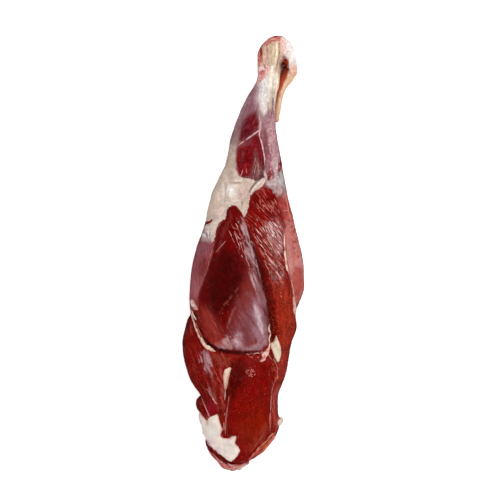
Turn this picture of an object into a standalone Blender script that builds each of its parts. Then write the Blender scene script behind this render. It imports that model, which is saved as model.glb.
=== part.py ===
"""A raw, skinned and trimmed leg of lamb, lying on its flatter side.

The leg is one solid: the thigh with its big muscles, the shank, the hock joint and, hanging from the
heel bone, the cut end of the heel tendon, which stands a little clear of the shank.

Sizes are written on a drawing grid of 1.15 mm. On it, x runs across the leg as seen from above, y runs
from the hock (36) down to the butt end (471), and z is the height over the surface that the leg lies on.
The drawing leans by 5 degrees, so the finished leg is turned to lie along +Y, hock end towards +Y.
"""

import math

import bmesh
import bpy
import numpy as np

for old in list(bpy.data.objects):
    bpy.data.objects.remove(old, do_unlink=True)

# ---------------------------------------------------------------- driving sizes
GRID = 0.00115  # metres for one step of the drawing grid: the leg is 0.50 m long
LEAN = math.radians(5.0)  # how far the drawing leans off the leg's own long axis
CENTRE = (248.0, 253.0)  # the drawing's point over the leg's origin, before the box is centred
SECTION = 2.25  # exponent of the cross sections: 2 is an ellipse, more is boxier
WIDEST = 0.47  # height of the widest point, as a share of the thickness
ROWS = 110  # rings of the leg's core
SIDES = 56  # points round each ring
VOXEL = 0.0028  # mesh size in metres at which the muscles are grown together
SOFTEN = 5  # passes that soften the creases where muscles meet
TRIANGLES = 8200  # of the finished solid
STEP_EDGE = 7.0  # how far in from its outline a muscle reaches its full height, in grid steps

# Stations of the core, from the hock to the butt end: y, left edge, right edge, top, underside.
STATIONS = [
    (36.0, 276.0, 281.0, 21.0, 15.0),
    (37.5, 270.5, 283.0, 26.0, 10.0),
    (41.0, 265.5, 284.5, 30.0, 6.5),
    (46.0, 260.4, 284.5, 32.5, 4.5),
    (55.0, 257.0, 283.0, 33.0, 4.0),
    (65.0, 258.0, 280.5, 31.0, 4.5),
    (75.0, 258.0, 280.0, 30.0, 4.5),
    (85.0, 254.8, 279.0, 31.0, 3.5),
    (95.0, 248.7, 277.0, 33.5, 2.5),
    (110.0, 241.5, 274.9, 38.0, 1.5),
    (125.0, 236.1, 275.0, 42.0, 1.0),
    (140.0, 231.3, 276.8, 45.5, 1.0),
    (155.0, 228.2, 279.2, 48.0, 1.0),
    (165.0, 225.9, 281.4, 50.0, 1.0),
    (180.0, 219.0, 283.6, 54.0, 0.8),
    (195.0, 211.4, 287.8, 58.5, 0.4),
    (210.0, 208.0, 291.0, 63.5, -0.3),
    (225.0, 204.9, 293.9, 68.0, -1.2),
    (240.0, 200.0, 298.0, 71.5, -2.0),
    (255.0, 194.7, 301.2, 74.0, -2.4),
    (270.0, 191.7, 303.0, 76.0, -2.6),
    (287.0, 190.0, 303.8, 77.5, -2.6),
    (300.0, 189.6, 300.4, 78.0, -2.6),
    (314.0, 191.0, 295.0, 77.5, -2.6),
    (328.0, 190.5, 296.6, 77.0, -2.6),
    (341.0, 190.0, 292.0, 76.0, -2.6),
    (356.0, 191.0, 289.0, 75.0, -2.6),
    (372.0, 193.0, 286.4, 73.5, -2.4),
    (386.0, 198.0, 281.6, 71.5, -2.2),
    (398.0, 201.5, 277.7, 69.5, -1.8),
    (410.0, 200.2, 278.0, 66.5, -1.2),
    (424.0, 200.6, 279.6, 62.0, 0.2),
    (434.0, 203.6, 276.8, 58.0, 1.8),
    (444.0, 205.4, 270.6, 53.0, 4.2),
    (453.0, 210.0, 262.8, 50.0, 5.6),
    (461.0, 218.2, 251.0, 45.5, 8.6),
    (467.0, 223.6, 242.6, 40.0, 12.6),
    (470.5, 229.0, 237.0, 33.5, 18.5),
]

# Muscle bellies and bones that swell out of the core: a path of (x, y, z) and, at each of its points, the
# half width across and the half depth. Every belly is closed by a round end as long as END.
BELLIES = {
    "outer_thigh": (
        [(196.5, 317, 37), (195.5, 345, 38), (200, 372, 37), (209.5, 398, 34), (214, 414, 31)],
        [(10.5, 16), (14.5, 22), (14, 21.5), (11, 17), (7, 12)],
        7.0,
    ),
    "thigh_end": (
        [(203.5, 397, 25), (203, 404, 25), (206, 412, 25)],
        [(7, 12), (7.2, 13), (6, 11)],
        5.0,
    ),
    "butt_fat": ([(276, 421, 37), (280, 421.5, 37)], [(3.6, 4.4), (3.2, 3.8)], 2.6),
    "heel_bone": (
        [(279, 42, 19), (285, 50, 19.5), (289.4, 60, 19), (291.2, 68, 18), (292.2, 74.5, 17)],
        [(6, 9.5), (8.2, 11), (7, 10), (6, 8), (5, 6)],
        4.0,
    ),
    "heel_web": (
        [(283.6, 54, 11.5), (284.4, 65, 10), (284.4, 75, 10)],
        [(5, 5.5), (4.6, 4.6), (3.8, 4)],
        3.0,
    ),
    "calf": (
        [(262, 122, 24), (264, 150, 26), (266, 176, 28), (268, 196, 30)],
        [(9, 16), (13, 20), (14.5, 22), (14, 22)],
        12.0,
    ),
}

# The heel tendon: joined to the heel bone, free at its lower end and clear of the shank.
TENDON_PATH = [
    (291.2, 72.5, 15.5), (287.4, 79, 14.5), (283.7, 86, 14), (281.3, 94, 14), (279.6, 103, 14), (278.1, 112, 14), (277.3, 121, 14),
]
TENDON_HALF = [(5.6, 5.4), (5.6, 4.6), (3.7, 3.6), (2.9, 3.2), (2.6, 3.0), (2.3, 2.8), (1.8, 2.2)]
TENDON_END = 2.0

# Muscles that stand proud of the upper face: an outline, seen from above, and their height in grid steps.
FACE_MUSCLES = {
    "inner_round": (
        [(233, 208), (228, 222), (218, 230), (215, 250), (208, 272), (201, 290), (199, 310), (201, 326), (210, 341), (225, 348),
         (245, 351), (266, 347), (269, 334), (266, 305), (258, 272), (251, 250), (246, 226), (239, 213)],
        3.4,
    ),
    "hind_muscle": (
        [(268, 189), (251, 198), (249, 214), (253, 235), (262, 262), (270, 292), (275, 325), (279, 338), (284, 330), (292, 310),
         (291, 288), (285, 262), (284, 226), (278, 199)],
        2.4,
    ),
    "side_muscle": (
        [(289, 214), (285, 240), (288, 268), (294, 294), (299, 302), (308, 290), (308, 250), (300, 222)],
        2.6,
    ),
    "eye_muscle": (
        [(241, 356), (231, 367), (227, 384), (228, 410), (229, 432), (238, 442), (239, 458), (252, 456), (266, 441), (271, 420),
         (271, 380), (268, 360), (256, 354)],
        3.2,
    ),
    "hip_fat": (
        [(200, 414), (210, 420), (217, 412), (222, 428), (223, 437), (237, 434), (240, 448), (234, 460), (216, 451), (204, 438)],
        1.6,
    ),
    "knee_cap": (
        [(222, 184), (246, 184), (249, 200), (244, 214), (228, 208), (217, 222), (208, 214), (212, 194)],
        1.8,
    ),
}


def smooth_table(rows, at):
    """The station table read at any y, by a cubic that never overshoots its stations."""
    rows = np.array(rows, float)
    y, v = rows[:, 0], rows[:, 1:]
    h = np.diff(y)[:, None]
    d = np.diff(v, axis=0) / h
    m = np.zeros_like(v)
    m[0], m[-1] = d[0], d[-1]
    same = d[1:] * d[:-1] > 0
    harmonic = 2 * d[1:] * d[:-1] / np.where(same, d[1:] + d[:-1], 1)
    m[1:-1] = np.where(same, harmonic, 0)
    k = np.clip(np.searchsorted(y, at) - 1, 0, len(y) - 2)
    t = ((at - y[k]) / h[k, 0])[:, None]
    return (
        v[k] * (2 * t**3 - 3 * t**2 + 1)
        + m[k] * h[k] * (t**3 - 2 * t**2 + t)
        + v[k + 1] * (3 * t**2 - 2 * t**3)
        + m[k + 1] * h[k] * (t**3 - t**2)
    )


def catmull(points, n):
    """n points evenly spread on a smooth curve through the given ones."""
    p = np.array(points, float)
    p = np.vstack([2 * p[0] - p[1], p, 2 * p[-1] - p[-2]])
    s = np.linspace(0, len(p) - 3 - 1e-9, n)
    i, t = s.astype(int), (s % 1)[:, None]
    a, b, c, d = p[i], p[i + 1], p[i + 2], p[i + 3]
    return 0.5 * (2 * b + (c - a) * t + (2 * a - 5 * b + 4 * c - d) * t**2 + (3 * b - a - 3 * c + d) * t**3)


def to_frame(p):
    """Drawing grid to metres, turned so that the leg lies along +Y."""
    p = np.asarray(p, float)
    u, v = p[..., 0] - CENTRE[0], CENTRE[1] - p[..., 1]
    c, s = math.cos(LEAN), math.sin(LEAN)
    return np.stack([(u * c - v * s) * GRID, (u * s + v * c) * GRID, p[..., 2] * GRID], -1)


def add_loft(bm, rings):
    """A closed skin over rings of points in metres, each ring in the same turning sense."""
    made = [[bm.verts.new(p) for p in ring] for ring in rings]
    n = len(made[0])
    for a, b in zip(made, made[1:]):
        for i in range(n):
            bm.faces.new((a[i], a[(i + 1) % n], b[(i + 1) % n], b[i]))
    bm.faces.new(list(reversed(made[0])))
    bm.faces.new(made[-1])


def core_rings():
    """Superellipse sections through the stations, closer together towards both blunt ends."""
    t = np.linspace(0, 1, ROWS)
    s = t + 0.075 * np.sin(2 * np.pi * t) * -1
    y = STATIONS[0][0] + (STATIONS[-1][0] - STATIONS[0][0]) * s
    left, right, top, under = smooth_table(STATIONS, y).T
    angle = np.linspace(0, 2 * np.pi, SIDES, endpoint=False)
    ca, sa = np.cos(angle), np.sin(angle)
    ca, sa = (np.sign(q) * np.abs(q) ** (2 / SECTION) for q in (ca, sa))
    rings = []
    for k in range(ROWS):
        middle = under[k] + (top[k] - under[k]) * WIDEST
        x = (left[k] + right[k]) / 2 + (right[k] - left[k]) / 2 * ca
        z = middle + np.where(sa > 0, top[k] - middle, middle - under[k]) * sa
        rings.append(to_frame(np.stack([x, np.full(SIDES, y[k]), z], -1)))
    return rings


def belly_rings(path, halves, end, sides=28, rows=34):
    """A rounded muscle belly along a path: elliptical sections that close in a round end."""
    n = len(path)
    p = catmull(path, rows)
    h = catmull(halves, rows) if n > 2 else np.linspace(halves[0], halves[-1], rows)
    step = np.linalg.norm(np.diff(p, axis=0), axis=1)
    along = np.concatenate([[0], np.cumsum(step)])
    total = along[-1]
    tangent = np.gradient(p, axis=0)
    tangent /= np.linalg.norm(tangent, axis=1)[:, None]
    # the ends run past the path by `end`, shrinking as a quarter ellipse does
    caps = np.sin(np.linspace(0, np.pi / 2, 6)[1:])
    first = [(p[0] - tangent[0] * end * c, h[0] * math.sqrt(max(1 - c * c, 4e-3)), tangent[0]) for c in caps[::-1]]
    last = [(p[-1] + tangent[-1] * end * c, h[-1] * math.sqrt(max(1 - c * c, 4e-3)), tangent[-1]) for c in caps]
    body = [(p[i], h[i], tangent[i]) for i in range(rows)]
    angle = np.linspace(0, 2 * np.pi, sides, endpoint=False)
    rings = []
    for q, half, tan in first + body + last:
        side = np.cross(tan, (0, 0, 1.0))
        side /= np.linalg.norm(side)
        up = np.cross(side, tan)
        ring = q + np.cos(angle)[:, None] * side * half[0] + np.sin(angle)[:, None] * up * half[1]
        rings.append(to_frame(ring))
    return rings


def new_object(name, bm):
    bmesh.ops.recalc_face_normals(bm, faces=bm.faces)
    mesh = bpy.data.meshes.new(name)
    bm.to_mesh(mesh)
    bm.free()
    made = bpy.data.objects.new(name, mesh)
    bpy.context.scene.collection.objects.link(made)
    return made


def apply_modifiers(obj):
    """The object's mesh with its modifiers carried out."""
    bpy.context.view_layer.update()
    shaped = bpy.data.meshes.new_from_object(obj.evaluated_get(bpy.context.evaluated_depsgraph_get()))
    old, obj.data = obj.data, shaped
    obj.modifiers.clear()
    bpy.data.meshes.remove(old)


def inside_distance(points, outline):
    """Distance from each (x, y) to a closed outline, positive inside."""
    o = np.array(outline, float)
    for _ in range(2):  # corner cutting rounds the outline
        o = np.stack([0.75 * o + 0.25 * np.roll(o, -1, 0), 0.25 * o + 0.75 * np.roll(o, -1, 0)], 1).reshape(-1, 2)
    best = np.full(len(points), np.inf)
    inside = np.zeros(len(points), bool)
    for a, b in zip(o, np.roll(o, -1, 0)):
        ab, ap = b - a, points - a
        t = np.clip(ap @ ab / (ab @ ab), 0, 1)
        best = np.minimum(best, np.linalg.norm(ap - t[:, None] * ab, axis=1))
        crosses = ((a[1] > points[:, 1]) != (b[1] > points[:, 1])) & (
            points[:, 0] < (b[0] - a[0]) * (points[:, 1] - a[1]) / (b[1] - a[1] + 1e-12) + a[0]
        )
        inside ^= crosses
    return np.where(inside, best, -best)


def raise_face_muscles(mesh):
    """Lifts each muscle of the upper face along the skin's own normals, to a rounded step at its outline."""
    n = len(mesh.vertices)
    co, normal = np.empty(n * 3), np.empty(n * 3)
    mesh.vertices.foreach_get("co", co)
    mesh.vertices.foreach_get("normal", normal)
    co, normal = co.reshape(-1, 3), normal.reshape(-1, 3)
    c, s = math.cos(LEAN), math.sin(LEAN)
    x, y = co[:, 0] / GRID, co[:, 1] / GRID
    drawn = np.stack([CENTRE[0] + x * c + y * s, CENTRE[1] - (y * c - x * s)], -1)
    facing = np.clip((normal[:, 2] - 0.05) / 0.45, 0, 1)
    facing = facing * facing * (3 - 2 * facing)
    lift = np.zeros(n)
    for outline, height in FACE_MUSCLES.values():
        d = np.clip(inside_distance(drawn, outline) / STEP_EDGE, 0, 1)
        lift += height * np.sqrt(1 - (1 - d) ** 2)
    co += normal * (lift * facing * GRID)[:, None]
    mesh.vertices.foreach_set("co", co.ravel())
    mesh.update()


def principled(name, colour, roughness):
    made = bpy.data.materials.new(name)
    made.use_nodes = True
    shader = made.node_tree.nodes["Principled BSDF"]
    shader.inputs["Base Color"].default_value = (*colour, 1)
    shader.inputs["Roughness"].default_value = roughness
    shader.inputs["Metallic"].default_value = 0.0
    return made


# ---------------------------------------------------------------- the leg
bm = bmesh.new()
add_loft(bm, core_rings())
for path, halves, end in BELLIES.values():
    add_loft(bm, belly_rings(path, halves, end))
leg = new_object("leg", bm)

grow = leg.modifiers.new("grow_together", "REMESH")
grow.mode = "VOXEL"
grow.voxel_size = VOXEL
soften = leg.modifiers.new("soften", "SMOOTH")
soften.factor = 0.5
soften.iterations = SOFTEN
apply_modifiers(leg)
raise_face_muscles(leg.data)

even = leg.modifiers.new("even", "SMOOTH")
even.factor = 0.5
even.iterations = 5
thin = leg.modifiers.new("thin_out", "DECIMATE")
thin.ratio = min(1.0, TRIANGLES / (2.0 * len(leg.data.polygons)))

# the heel tendon is joined on after the muscles have grown together, so its gap to the shank stays open
bm = bmesh.new()
add_loft(bm, belly_rings(TENDON_PATH, TENDON_HALF, TENDON_END, sides=12, rows=16))
tendon = new_object("tendon_shape", bm)
tendon.hide_render = True
tendon.display_type = "WIRE"
join = leg.modifiers.new("join_tendon", "BOOLEAN")
join.operation = "UNION"
join.solver = "EXACT"
join.object = tendon

# the side that the leg lies on is pressed flat
bm = bmesh.new()
bmesh.ops.create_cube(bm, size=1.0)
bmesh.ops.scale(bm, vec=(1.0, 1.4, 0.2), verts=bm.verts)
bmesh.ops.translate(bm, vec=(0, 0, -0.1), verts=bm.verts)
table = new_object("rest_plane", bm)
table.hide_render = True
table.display_type = "WIRE"
press = leg.modifiers.new("press_flat", "BOOLEAN")
press.operation = "DIFFERENCE"
press.solver = "EXACT"
press.object = table
apply_modifiers(leg)

# the origin goes to the middle of the leg's box, at the height of the resting face
co = np.array([v.co for v in leg.data.vertices])
lo, hi = co.min(0), co.max(0)
shift = -np.array([(lo[0] + hi[0]) / 2, (lo[1] + hi[1]) / 2, lo[2]])
for v in leg.data.vertices:
    v.co.x += shift[0]
    v.co.y += shift[1]
    v.co.z += shift[2]
print("box", (lo + shift).round(5), (hi + shift).round(5), "shift", shift.round(6))

leg.data.shade_smooth()
leg.data.set_sharp_from_angle(angle=math.radians(60))
leg.data.materials.clear()
leg.data.materials.append(principled("raw_meat", (0.28, 0.035, 0.025), 0.38))
for helper in (tendon, table):
    bpy.data.objects.remove(helper, do_unlink=True)
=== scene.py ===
"""The looks of a raw leg of lamb: skinned, trimmed, lying on its flatter side with the inner face up.

Places on the upper face are written on the drawing grid that the solid uses: x across, y from the hock down
to the butt end, one step 1.15 mm, the drawing leaning 5 degrees off the leg's axis.
"""

import math

import bmesh
import bpy
import numpy as np
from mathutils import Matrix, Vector
from mathutils.bvhtree import BVHTree


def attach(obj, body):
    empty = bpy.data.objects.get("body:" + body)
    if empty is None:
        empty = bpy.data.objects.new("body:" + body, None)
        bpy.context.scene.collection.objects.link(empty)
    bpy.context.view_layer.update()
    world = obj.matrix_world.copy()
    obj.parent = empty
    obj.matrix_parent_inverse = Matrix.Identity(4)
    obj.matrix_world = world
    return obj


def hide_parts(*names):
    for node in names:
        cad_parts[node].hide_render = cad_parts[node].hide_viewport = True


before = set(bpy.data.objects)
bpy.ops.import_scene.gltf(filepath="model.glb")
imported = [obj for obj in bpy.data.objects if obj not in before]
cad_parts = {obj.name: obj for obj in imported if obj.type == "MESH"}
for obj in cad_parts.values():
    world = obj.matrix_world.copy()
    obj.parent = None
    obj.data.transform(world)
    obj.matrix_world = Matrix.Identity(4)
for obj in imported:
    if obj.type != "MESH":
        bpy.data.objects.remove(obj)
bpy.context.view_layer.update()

# ================================================================ the leg's own form
GRID = 0.00115
LEAN = math.radians(5.0)
CENTRE = (248.0, 253.0)
SHIFT = (0.000293, -0.000486)
SECTION = 2.25
WIDEST = 0.47

# y, left edge, right edge, top, underside
STATIONS = [
    (35.6, 275.0, 283.0, 21.0, 15.0),
    (37.4, 269.8, 285.4, 26.0, 10.0),
    (41.0, 265.5, 284.5, 30.0, 6.5),
    (46.0, 260.4, 284.5, 32.5, 4.5),
    (55.0, 257.0, 283.0, 33.0, 4.0),
    (65.0, 258.0, 280.9, 31.0, 4.5),
    (75.0, 258.0, 281.2, 30.0, 4.5),
    (85.0, 254.8, 280.2, 31.0, 3.5),
    (95.0, 248.7, 277.0, 33.5, 2.5),
    (110.0, 241.5, 274.9, 38.0, 1.5),
    (125.0, 236.1, 275.0, 42.0, 1.0),
    (140.0, 231.3, 276.8, 45.5, 1.0),
    (155.0, 228.2, 279.2, 48.0, 1.0),
    (165.0, 225.9, 281.4, 50.0, 1.0),
    (180.0, 219.0, 283.6, 54.0, 0.8),
    (195.0, 211.4, 287.8, 58.5, 0.4),
    (210.0, 208.0, 291.0, 63.5, -0.3),
    (225.0, 204.9, 293.9, 68.0, -1.2),
    (240.0, 200.0, 298.0, 71.5, -2.0),
    (255.0, 194.7, 301.2, 74.0, -2.4),
    (270.0, 191.7, 303.0, 76.0, -2.6),
    (287.0, 190.0, 303.8, 77.5, -2.6),
    (300.0, 189.6, 300.4, 78.0, -2.6),
    (314.0, 191.0, 295.0, 77.5, -2.6),
    (328.0, 190.5, 296.6, 77.0, -2.6),
    (341.0, 190.0, 292.0, 76.0, -2.6),
    (356.0, 191.0, 289.0, 75.0, -2.6),
    (372.0, 193.0, 286.4, 73.5, -2.4),
    (386.0, 198.0, 281.6, 71.5, -2.2),
    (398.0, 201.5, 277.7, 69.5, -1.8),
    (410.0, 200.6, 278.0, 66.5, -1.2),
    (424.0, 202.6, 279.6, 62.0, 0.2),
    (434.0, 205.6, 276.8, 58.0, 1.8),
    (444.0, 205.4, 270.6, 53.0, 4.2),
    (453.0, 210.0, 262.8, 50.0, 5.6),
    (461.0, 218.2, 251.0, 45.5, 8.6),
    (467.0, 223.6, 242.6, 40.0, 12.6),
    (470.5, 229.0, 237.0, 33.5, 18.5),
]

BELLIES = {
    "outer_thigh": (
        [(198.5, 320.5, 37), (197.2, 345, 38), (202, 370, 37), (211, 389, 35), (215.5, 405, 31)],
        [(10.8, 16), (14.6, 22), (14, 21.5), (12, 18), (8, 13)],
        5.0,
    ),
    "thigh_end": (
        [(204.4, 402.4, 25), (203.4, 406, 25), (206, 412, 25)],
        [(7, 12), (7.2, 13), (6, 11)],
        3.6,
    ),
    "butt_fat": ([(276, 421, 37), (280, 421.5, 37)], [(3.6, 4.4), (3.2, 3.8)], 2.6),
    "heel_bone": (
        [(280.8, 42, 19), (285, 50, 19), (289.4, 60, 19), (291.6, 68, 18), (293.2, 74.5, 16.5)],
        [(6, 9.5), (8.2, 11), (7, 10), (6, 8), (4.4, 5.6)],
        3.4,
    ),
    "heel_web": (
        [(283.6, 54, 11.5), (284.4, 65, 10), (284.4, 75, 10)],
        [(5, 5.5), (4.6, 4.6), (3.8, 4)],
        3.0,
    ),
    "calf": (
        [(262, 122, 24), (264, 150, 26), (266, 176, 28), (268, 196, 30)],
        [(9, 16), (13, 20), (14.5, 22), (14, 22)],
        12.0,
    ),
}

TENDON_PATH = [
    (290.6, 72.0, 15.5), (286.6, 79, 14.5), (283.0, 86, 14), (280.5, 94, 14), (279.0, 103, 14), (277.7, 112, 14), (276.9, 120.5, 14),
]
TENDON_HALF = [(6.4, 5.4), (6.4, 4.8), (4.4, 3.8), (3.4, 3.3), (3.0, 3.1), (2.7, 2.9), (1.9, 2.2)]
TENDON_END = 2.0

# The muscles, membranes and fat of the upper face, as outlines seen from above.
ROUND = [  # the big round muscle in the middle
    (233, 207), (229, 209.5), (227.5, 213), (228, 221), (221, 224), (218, 230), (216.5, 240), (214.5, 250), (211, 262), (207, 274),
    (203, 284), (200.5, 292), (199.5, 302), (199.5, 314), (201, 326), (206, 336), (212, 342), (219, 346), (227, 348.5), (238, 350),
    (250, 350), (262, 348.5), (267.5, 344), (268.8, 334), (268, 322), (266.5, 308), (263.5, 294), (259.5, 280), (255.5, 266),
    (251.5, 252), (249, 240), (246.5, 230), (243.5, 222), (239.5, 214.5), (236.5, 209.5),
]
HIND = [  # the muscle behind it, with slanting fibres
    (249, 200), (255, 194.5), (262, 191), (268, 188.5), (272, 191.5), (277, 198), (281, 205), (283.5, 215), (283.5, 228), (284.5, 245),
    (285.5, 260), (288, 272), (291, 285), (293.5, 298), (295.5, 312), (296.5, 326), (294, 338), (288, 348), (281, 352), (274, 345),
    (272.5, 330), (270, 312), (267, 296), (262.5, 280), (258, 264), (253.5, 248), (249.5, 234), (246, 222), (244.5, 216.5), (248, 212),
]
GROOVE = [(247, 232, 0.8), (250.5, 244, 1.3), (254.5, 256, 2.4), (258.5, 268, 3.3), (262.3, 282, 3.8), (266, 298, 4.1), (269, 312, 3.9), (271, 325, 3.3), (272.3, 338, 2.2), (273.5, 346, 1.0)]
OVAL = [  # the oval muscle of the butt end
    (241, 355), (235, 359.5), (231.5, 366), (229, 374), (227.3, 383), (227.3, 394), (228.3, 402), (227.8, 413), (227, 424), (227, 433.5),
    (233, 434), (237.5, 434.5), (237.5, 441), (240.5, 448), (237.5, 455), (236, 460), (245, 461), (254, 457), (262, 448.5), (268, 440),
    (271, 430), (270.5, 416), (270.3, 400), (271.5, 385), (271.5, 373), (270, 362), (266.5, 355.5), (255, 353),
]
LOBE = [  # the outer thigh, low on the left
    (190, 314), (186.5, 320), (184, 328), (181.5, 340), (181.5, 352), (184, 364), (189, 378), (196, 390), (202, 401), (207, 412),
    (212, 418), (218, 412), (219, 403), (214, 392), (210, 382), (206, 372), (203.5, 361), (202, 351), (203.5, 346), (199, 337), (195.5, 328), (193, 319),
]
SIDE = [(289, 212), (285.5, 226), (285.5, 240), (286.5, 256), (290, 272), (293.5, 288), (297, 303), (303, 300), (310, 288), (312, 260), (306, 236), (298, 214)]
HIP_FAT = [
    (198.8, 412), (202, 413.5), (205.5, 418), (208.3, 420.5), (210, 415.5), (213.5, 414), (218, 411.5), (219.5, 417), (221.3, 423), (223.5, 427.5),
    (221, 431), (221, 436), (226, 437), (230.5, 435.5), (237.5, 433.5), (235.3, 439.5), (237, 444), (240.5, 448), (238, 453), (235, 457.5),
    (230.5, 460.5), (224, 455.5), (218, 451), (212, 446.5), (207.5, 441), (205.4, 436), (202.4, 429.4), (200.4, 420.6),
]
ALMOND = [(275.4, 333.6), (277.3, 338), (279.6, 344), (280.6, 350), (280, 356), (277.6, 362.6), (275, 359), (272.6, 352.5), (270.8, 347), (270.6, 342.5), (273, 341), (274.6, 338)]
SLIVER = [(225.6, 366.8), (232.0, 365.4), (230.6, 370.6), (228.6, 377), (227.4, 385), (226.2, 388.6), (225.2, 389), (224.6, 384), (224, 379), (223.8, 372)]
SIDE_FAT = [(192.5, 299.3), (195, 300.4), (196, 304), (198, 307.5), (198.8, 310.5), (195.5, 310), (192, 306.5), (190.3, 302)]
RIM_FAT = [(291.4, 296.4), (293.4, 297), (294.8, 302), (295.6, 308), (295.2, 314), (293.8, 316.4), (292.6, 311), (292, 304)]


# ================================================================ small tools
def smooth_table(rows, at):
    rows = np.array(rows, float)
    y, v = rows[:, 0], rows[:, 1:]
    h = np.diff(y)[:, None]
    d = np.diff(v, axis=0) / h
    m = np.zeros_like(v)
    m[0], m[-1] = d[0], d[-1]
    same = d[1:] * d[:-1] > 0
    harmonic = 2 * d[1:] * d[:-1] / np.where(same, d[1:] + d[:-1], 1)
    m[1:-1] = np.where(same, harmonic, 0)
    at = np.clip(at, y[0], y[-1])
    k = np.clip(np.searchsorted(y, at) - 1, 0, len(y) - 2)
    t = ((at - y[k]) / h[k, 0])[:, None]
    return (
        v[k] * (2 * t**3 - 3 * t**2 + 1)
        + m[k] * h[k] * (t**3 - 2 * t**2 + t)
        + v[k + 1] * (3 * t**2 - 2 * t**3)
        + m[k + 1] * h[k] * (t**3 - t**2)
    )


def catmull(points, n):
    p = np.array(points, float)
    p = np.vstack([2 * p[0] - p[1], p, 2 * p[-1] - p[-2]])
    s = np.linspace(0, len(p) - 3 - 1e-9, n)
    i, t = s.astype(int), (s % 1)[:, None]
    a, b, c, d = p[i], p[i + 1], p[i + 2], p[i + 3]
    return 0.5 * (2 * b + (c - a) * t + (2 * a - 5 * b + 4 * c - d) * t**2 + (3 * b - a - 3 * c + d) * t**3)


def to_frame(p):
    """Drawing grid (x, y, height) to metres."""
    p = np.asarray(p, float)
    u, v = p[..., 0] - CENTRE[0], CENTRE[1] - p[..., 1]
    c, s = math.cos(LEAN), math.sin(LEAN)
    return np.stack([(u * c - v * s) * GRID + SHIFT[0], (u * s + v * c) * GRID + SHIFT[1], p[..., 2] * GRID], -1)


def to_grid(co):
    """Metres to the drawing grid (x, y, height)."""
    c, s = math.cos(LEAN), math.sin(LEAN)
    x, y = (co[:, 0] - SHIFT[0]) / GRID, (co[:, 1] - SHIFT[1]) / GRID
    return np.stack([CENTRE[0] + x * c + y * s, CENTRE[1] - (y * c - x * s), co[:, 2] / GRID], -1)


def step(x, low=0.0, high=1.0):
    """0 below low, 1 above high, smooth between."""
    t = np.clip((x - low) / (high - low), 0, 1)
    return t * t * (3 - 2 * t)


def rounded(outline, times=2):
    o = np.array(outline, float)
    for _ in range(times):
        o = np.stack([0.75 * o + 0.25 * np.roll(o, -1, 0), 0.25 * o + 0.75 * np.roll(o, -1, 0)], 1).reshape(-1, 2)
    return o


def depth(points, outline, reach=14.0, times=2):
    """Distance in from a closed outline, negative outside and no lower than -reach."""
    o = rounded(outline, times)
    out = np.full(len(points), -reach)
    near = np.all((points > o.min(0) - reach) & (points < o.max(0) + reach), axis=1)
    p = points[near]
    best = np.full(len(p), np.inf)
    inside = np.zeros(len(p), bool)
    for a, b in zip(o, np.roll(o, -1, 0)):
        ab, ap = b - a, p - a
        t = np.clip(ap @ ab / (ab @ ab), 0, 1)
        q = ap - t[:, None] * ab
        best = np.minimum(best, np.einsum("ij,ij->i", q, q))
        inside ^= ((a[1] > p[:, 1]) != (b[1] > p[:, 1])) & (p[:, 0] < (b[0] - a[0]) * (p[:, 1] - a[1]) / (b[1] - a[1] + 1e-12) + a[0])
    best = np.sqrt(best)
    out[near] = np.maximum(np.where(inside, best, -best), -reach)
    return out


def beside(points, path, reach=14.0):
    """Half width of a stroke less the distance from it: a path of (x, y, half width)."""
    path = np.array(path, float)
    fine = catmull(path, max(2, 4 * len(path)))
    out = np.full(len(points), -reach)
    near = np.all((points > fine[:, :2].min(0) - reach) & (points < fine[:, :2].max(0) + reach), axis=1)
    p = points[near]
    best = np.full(len(p), -reach)
    for a, b in zip(fine[:-1], fine[1:]):
        ab, ap = (b - a)[:2], p - a[:2]
        t = np.clip(ap @ ab / max(ab @ ab, 1e-9), 0, 1)
        q = ap - t[:, None] * ab
        best = np.maximum(best, a[2] + t * (b[2] - a[2]) - np.sqrt(np.einsum("ij,ij->i", q, q)))
    out[near] = best
    return out


def scatter(i, j, k, seed):
    h = (i * 374761393 + j * 668265263 + k * 1440662683 + seed * 974634777) & 0xFFFFFFFF
    h = ((h ^ (h >> 13)) * 1274126177) & 0xFFFFFFFF
    h = ((h ^ (h >> 16)) * 2246822519) & 0xFFFFFFFF
    return ((h ^ (h >> 15)) & 0xFFFFFF) / float(0xFFFFFF)


def noise(p, size, seed=0, octaves=1):
    """Smooth value noise from 0 to 1 at points (n, 2) or (n, 3); size is the size of its patches."""
    p = np.asarray(p, float)
    if p.shape[1] == 2:
        p = np.column_stack([p, np.full(len(p), 0.37)])
    total, weight, share = np.zeros(len(p)), 0.0, 1.0
    q = p / np.asarray(size, float)
    for o in range(octaves):
        f = np.floor(q).astype(np.int64)
        t = q - f
        t = t * t * (3 - 2 * t)
        v = 0.0
        for dx in (0, 1):
            for dy in (0, 1):
                for dz in (0, 1):
                    w = (t[:, 0] if dx else 1 - t[:, 0]) * (t[:, 1] if dy else 1 - t[:, 1]) * (t[:, 2] if dz else 1 - t[:, 2])
                    v = v + w * scatter(f[:, 0] + dx, f[:, 1] + dy, f[:, 2] + dz, seed + 17 * o)
        total += share * v
        weight += share
        share *= 0.5
        q = q * 2.03
    return total / weight


def tone(*rgb):
    """A colour as seen (0 to 255) in linear light."""
    c = np.array(rgb, float) / 255
    return np.where(c <= 0.04045, c / 12.92, ((c + 0.055) / 1.055) ** 2.4)


def new_object(name, bm):
    bmesh.ops.recalc_face_normals(bm, faces=bm.faces)
    mesh = bpy.data.meshes.new(name)
    bm.to_mesh(mesh)
    bm.free()
    made = bpy.data.objects.new(name, mesh)
    bpy.context.scene.collection.objects.link(made)
    return made


def object_from(name, verts, faces):
    mesh = bpy.data.meshes.new(name)
    mesh.from_pydata([tuple(v) for v in verts], [], [tuple(int(i) for i in f) for f in faces])
    mesh.update()
    made = bpy.data.objects.new(name, mesh)
    bpy.context.scene.collection.objects.link(made)
    return made


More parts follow.
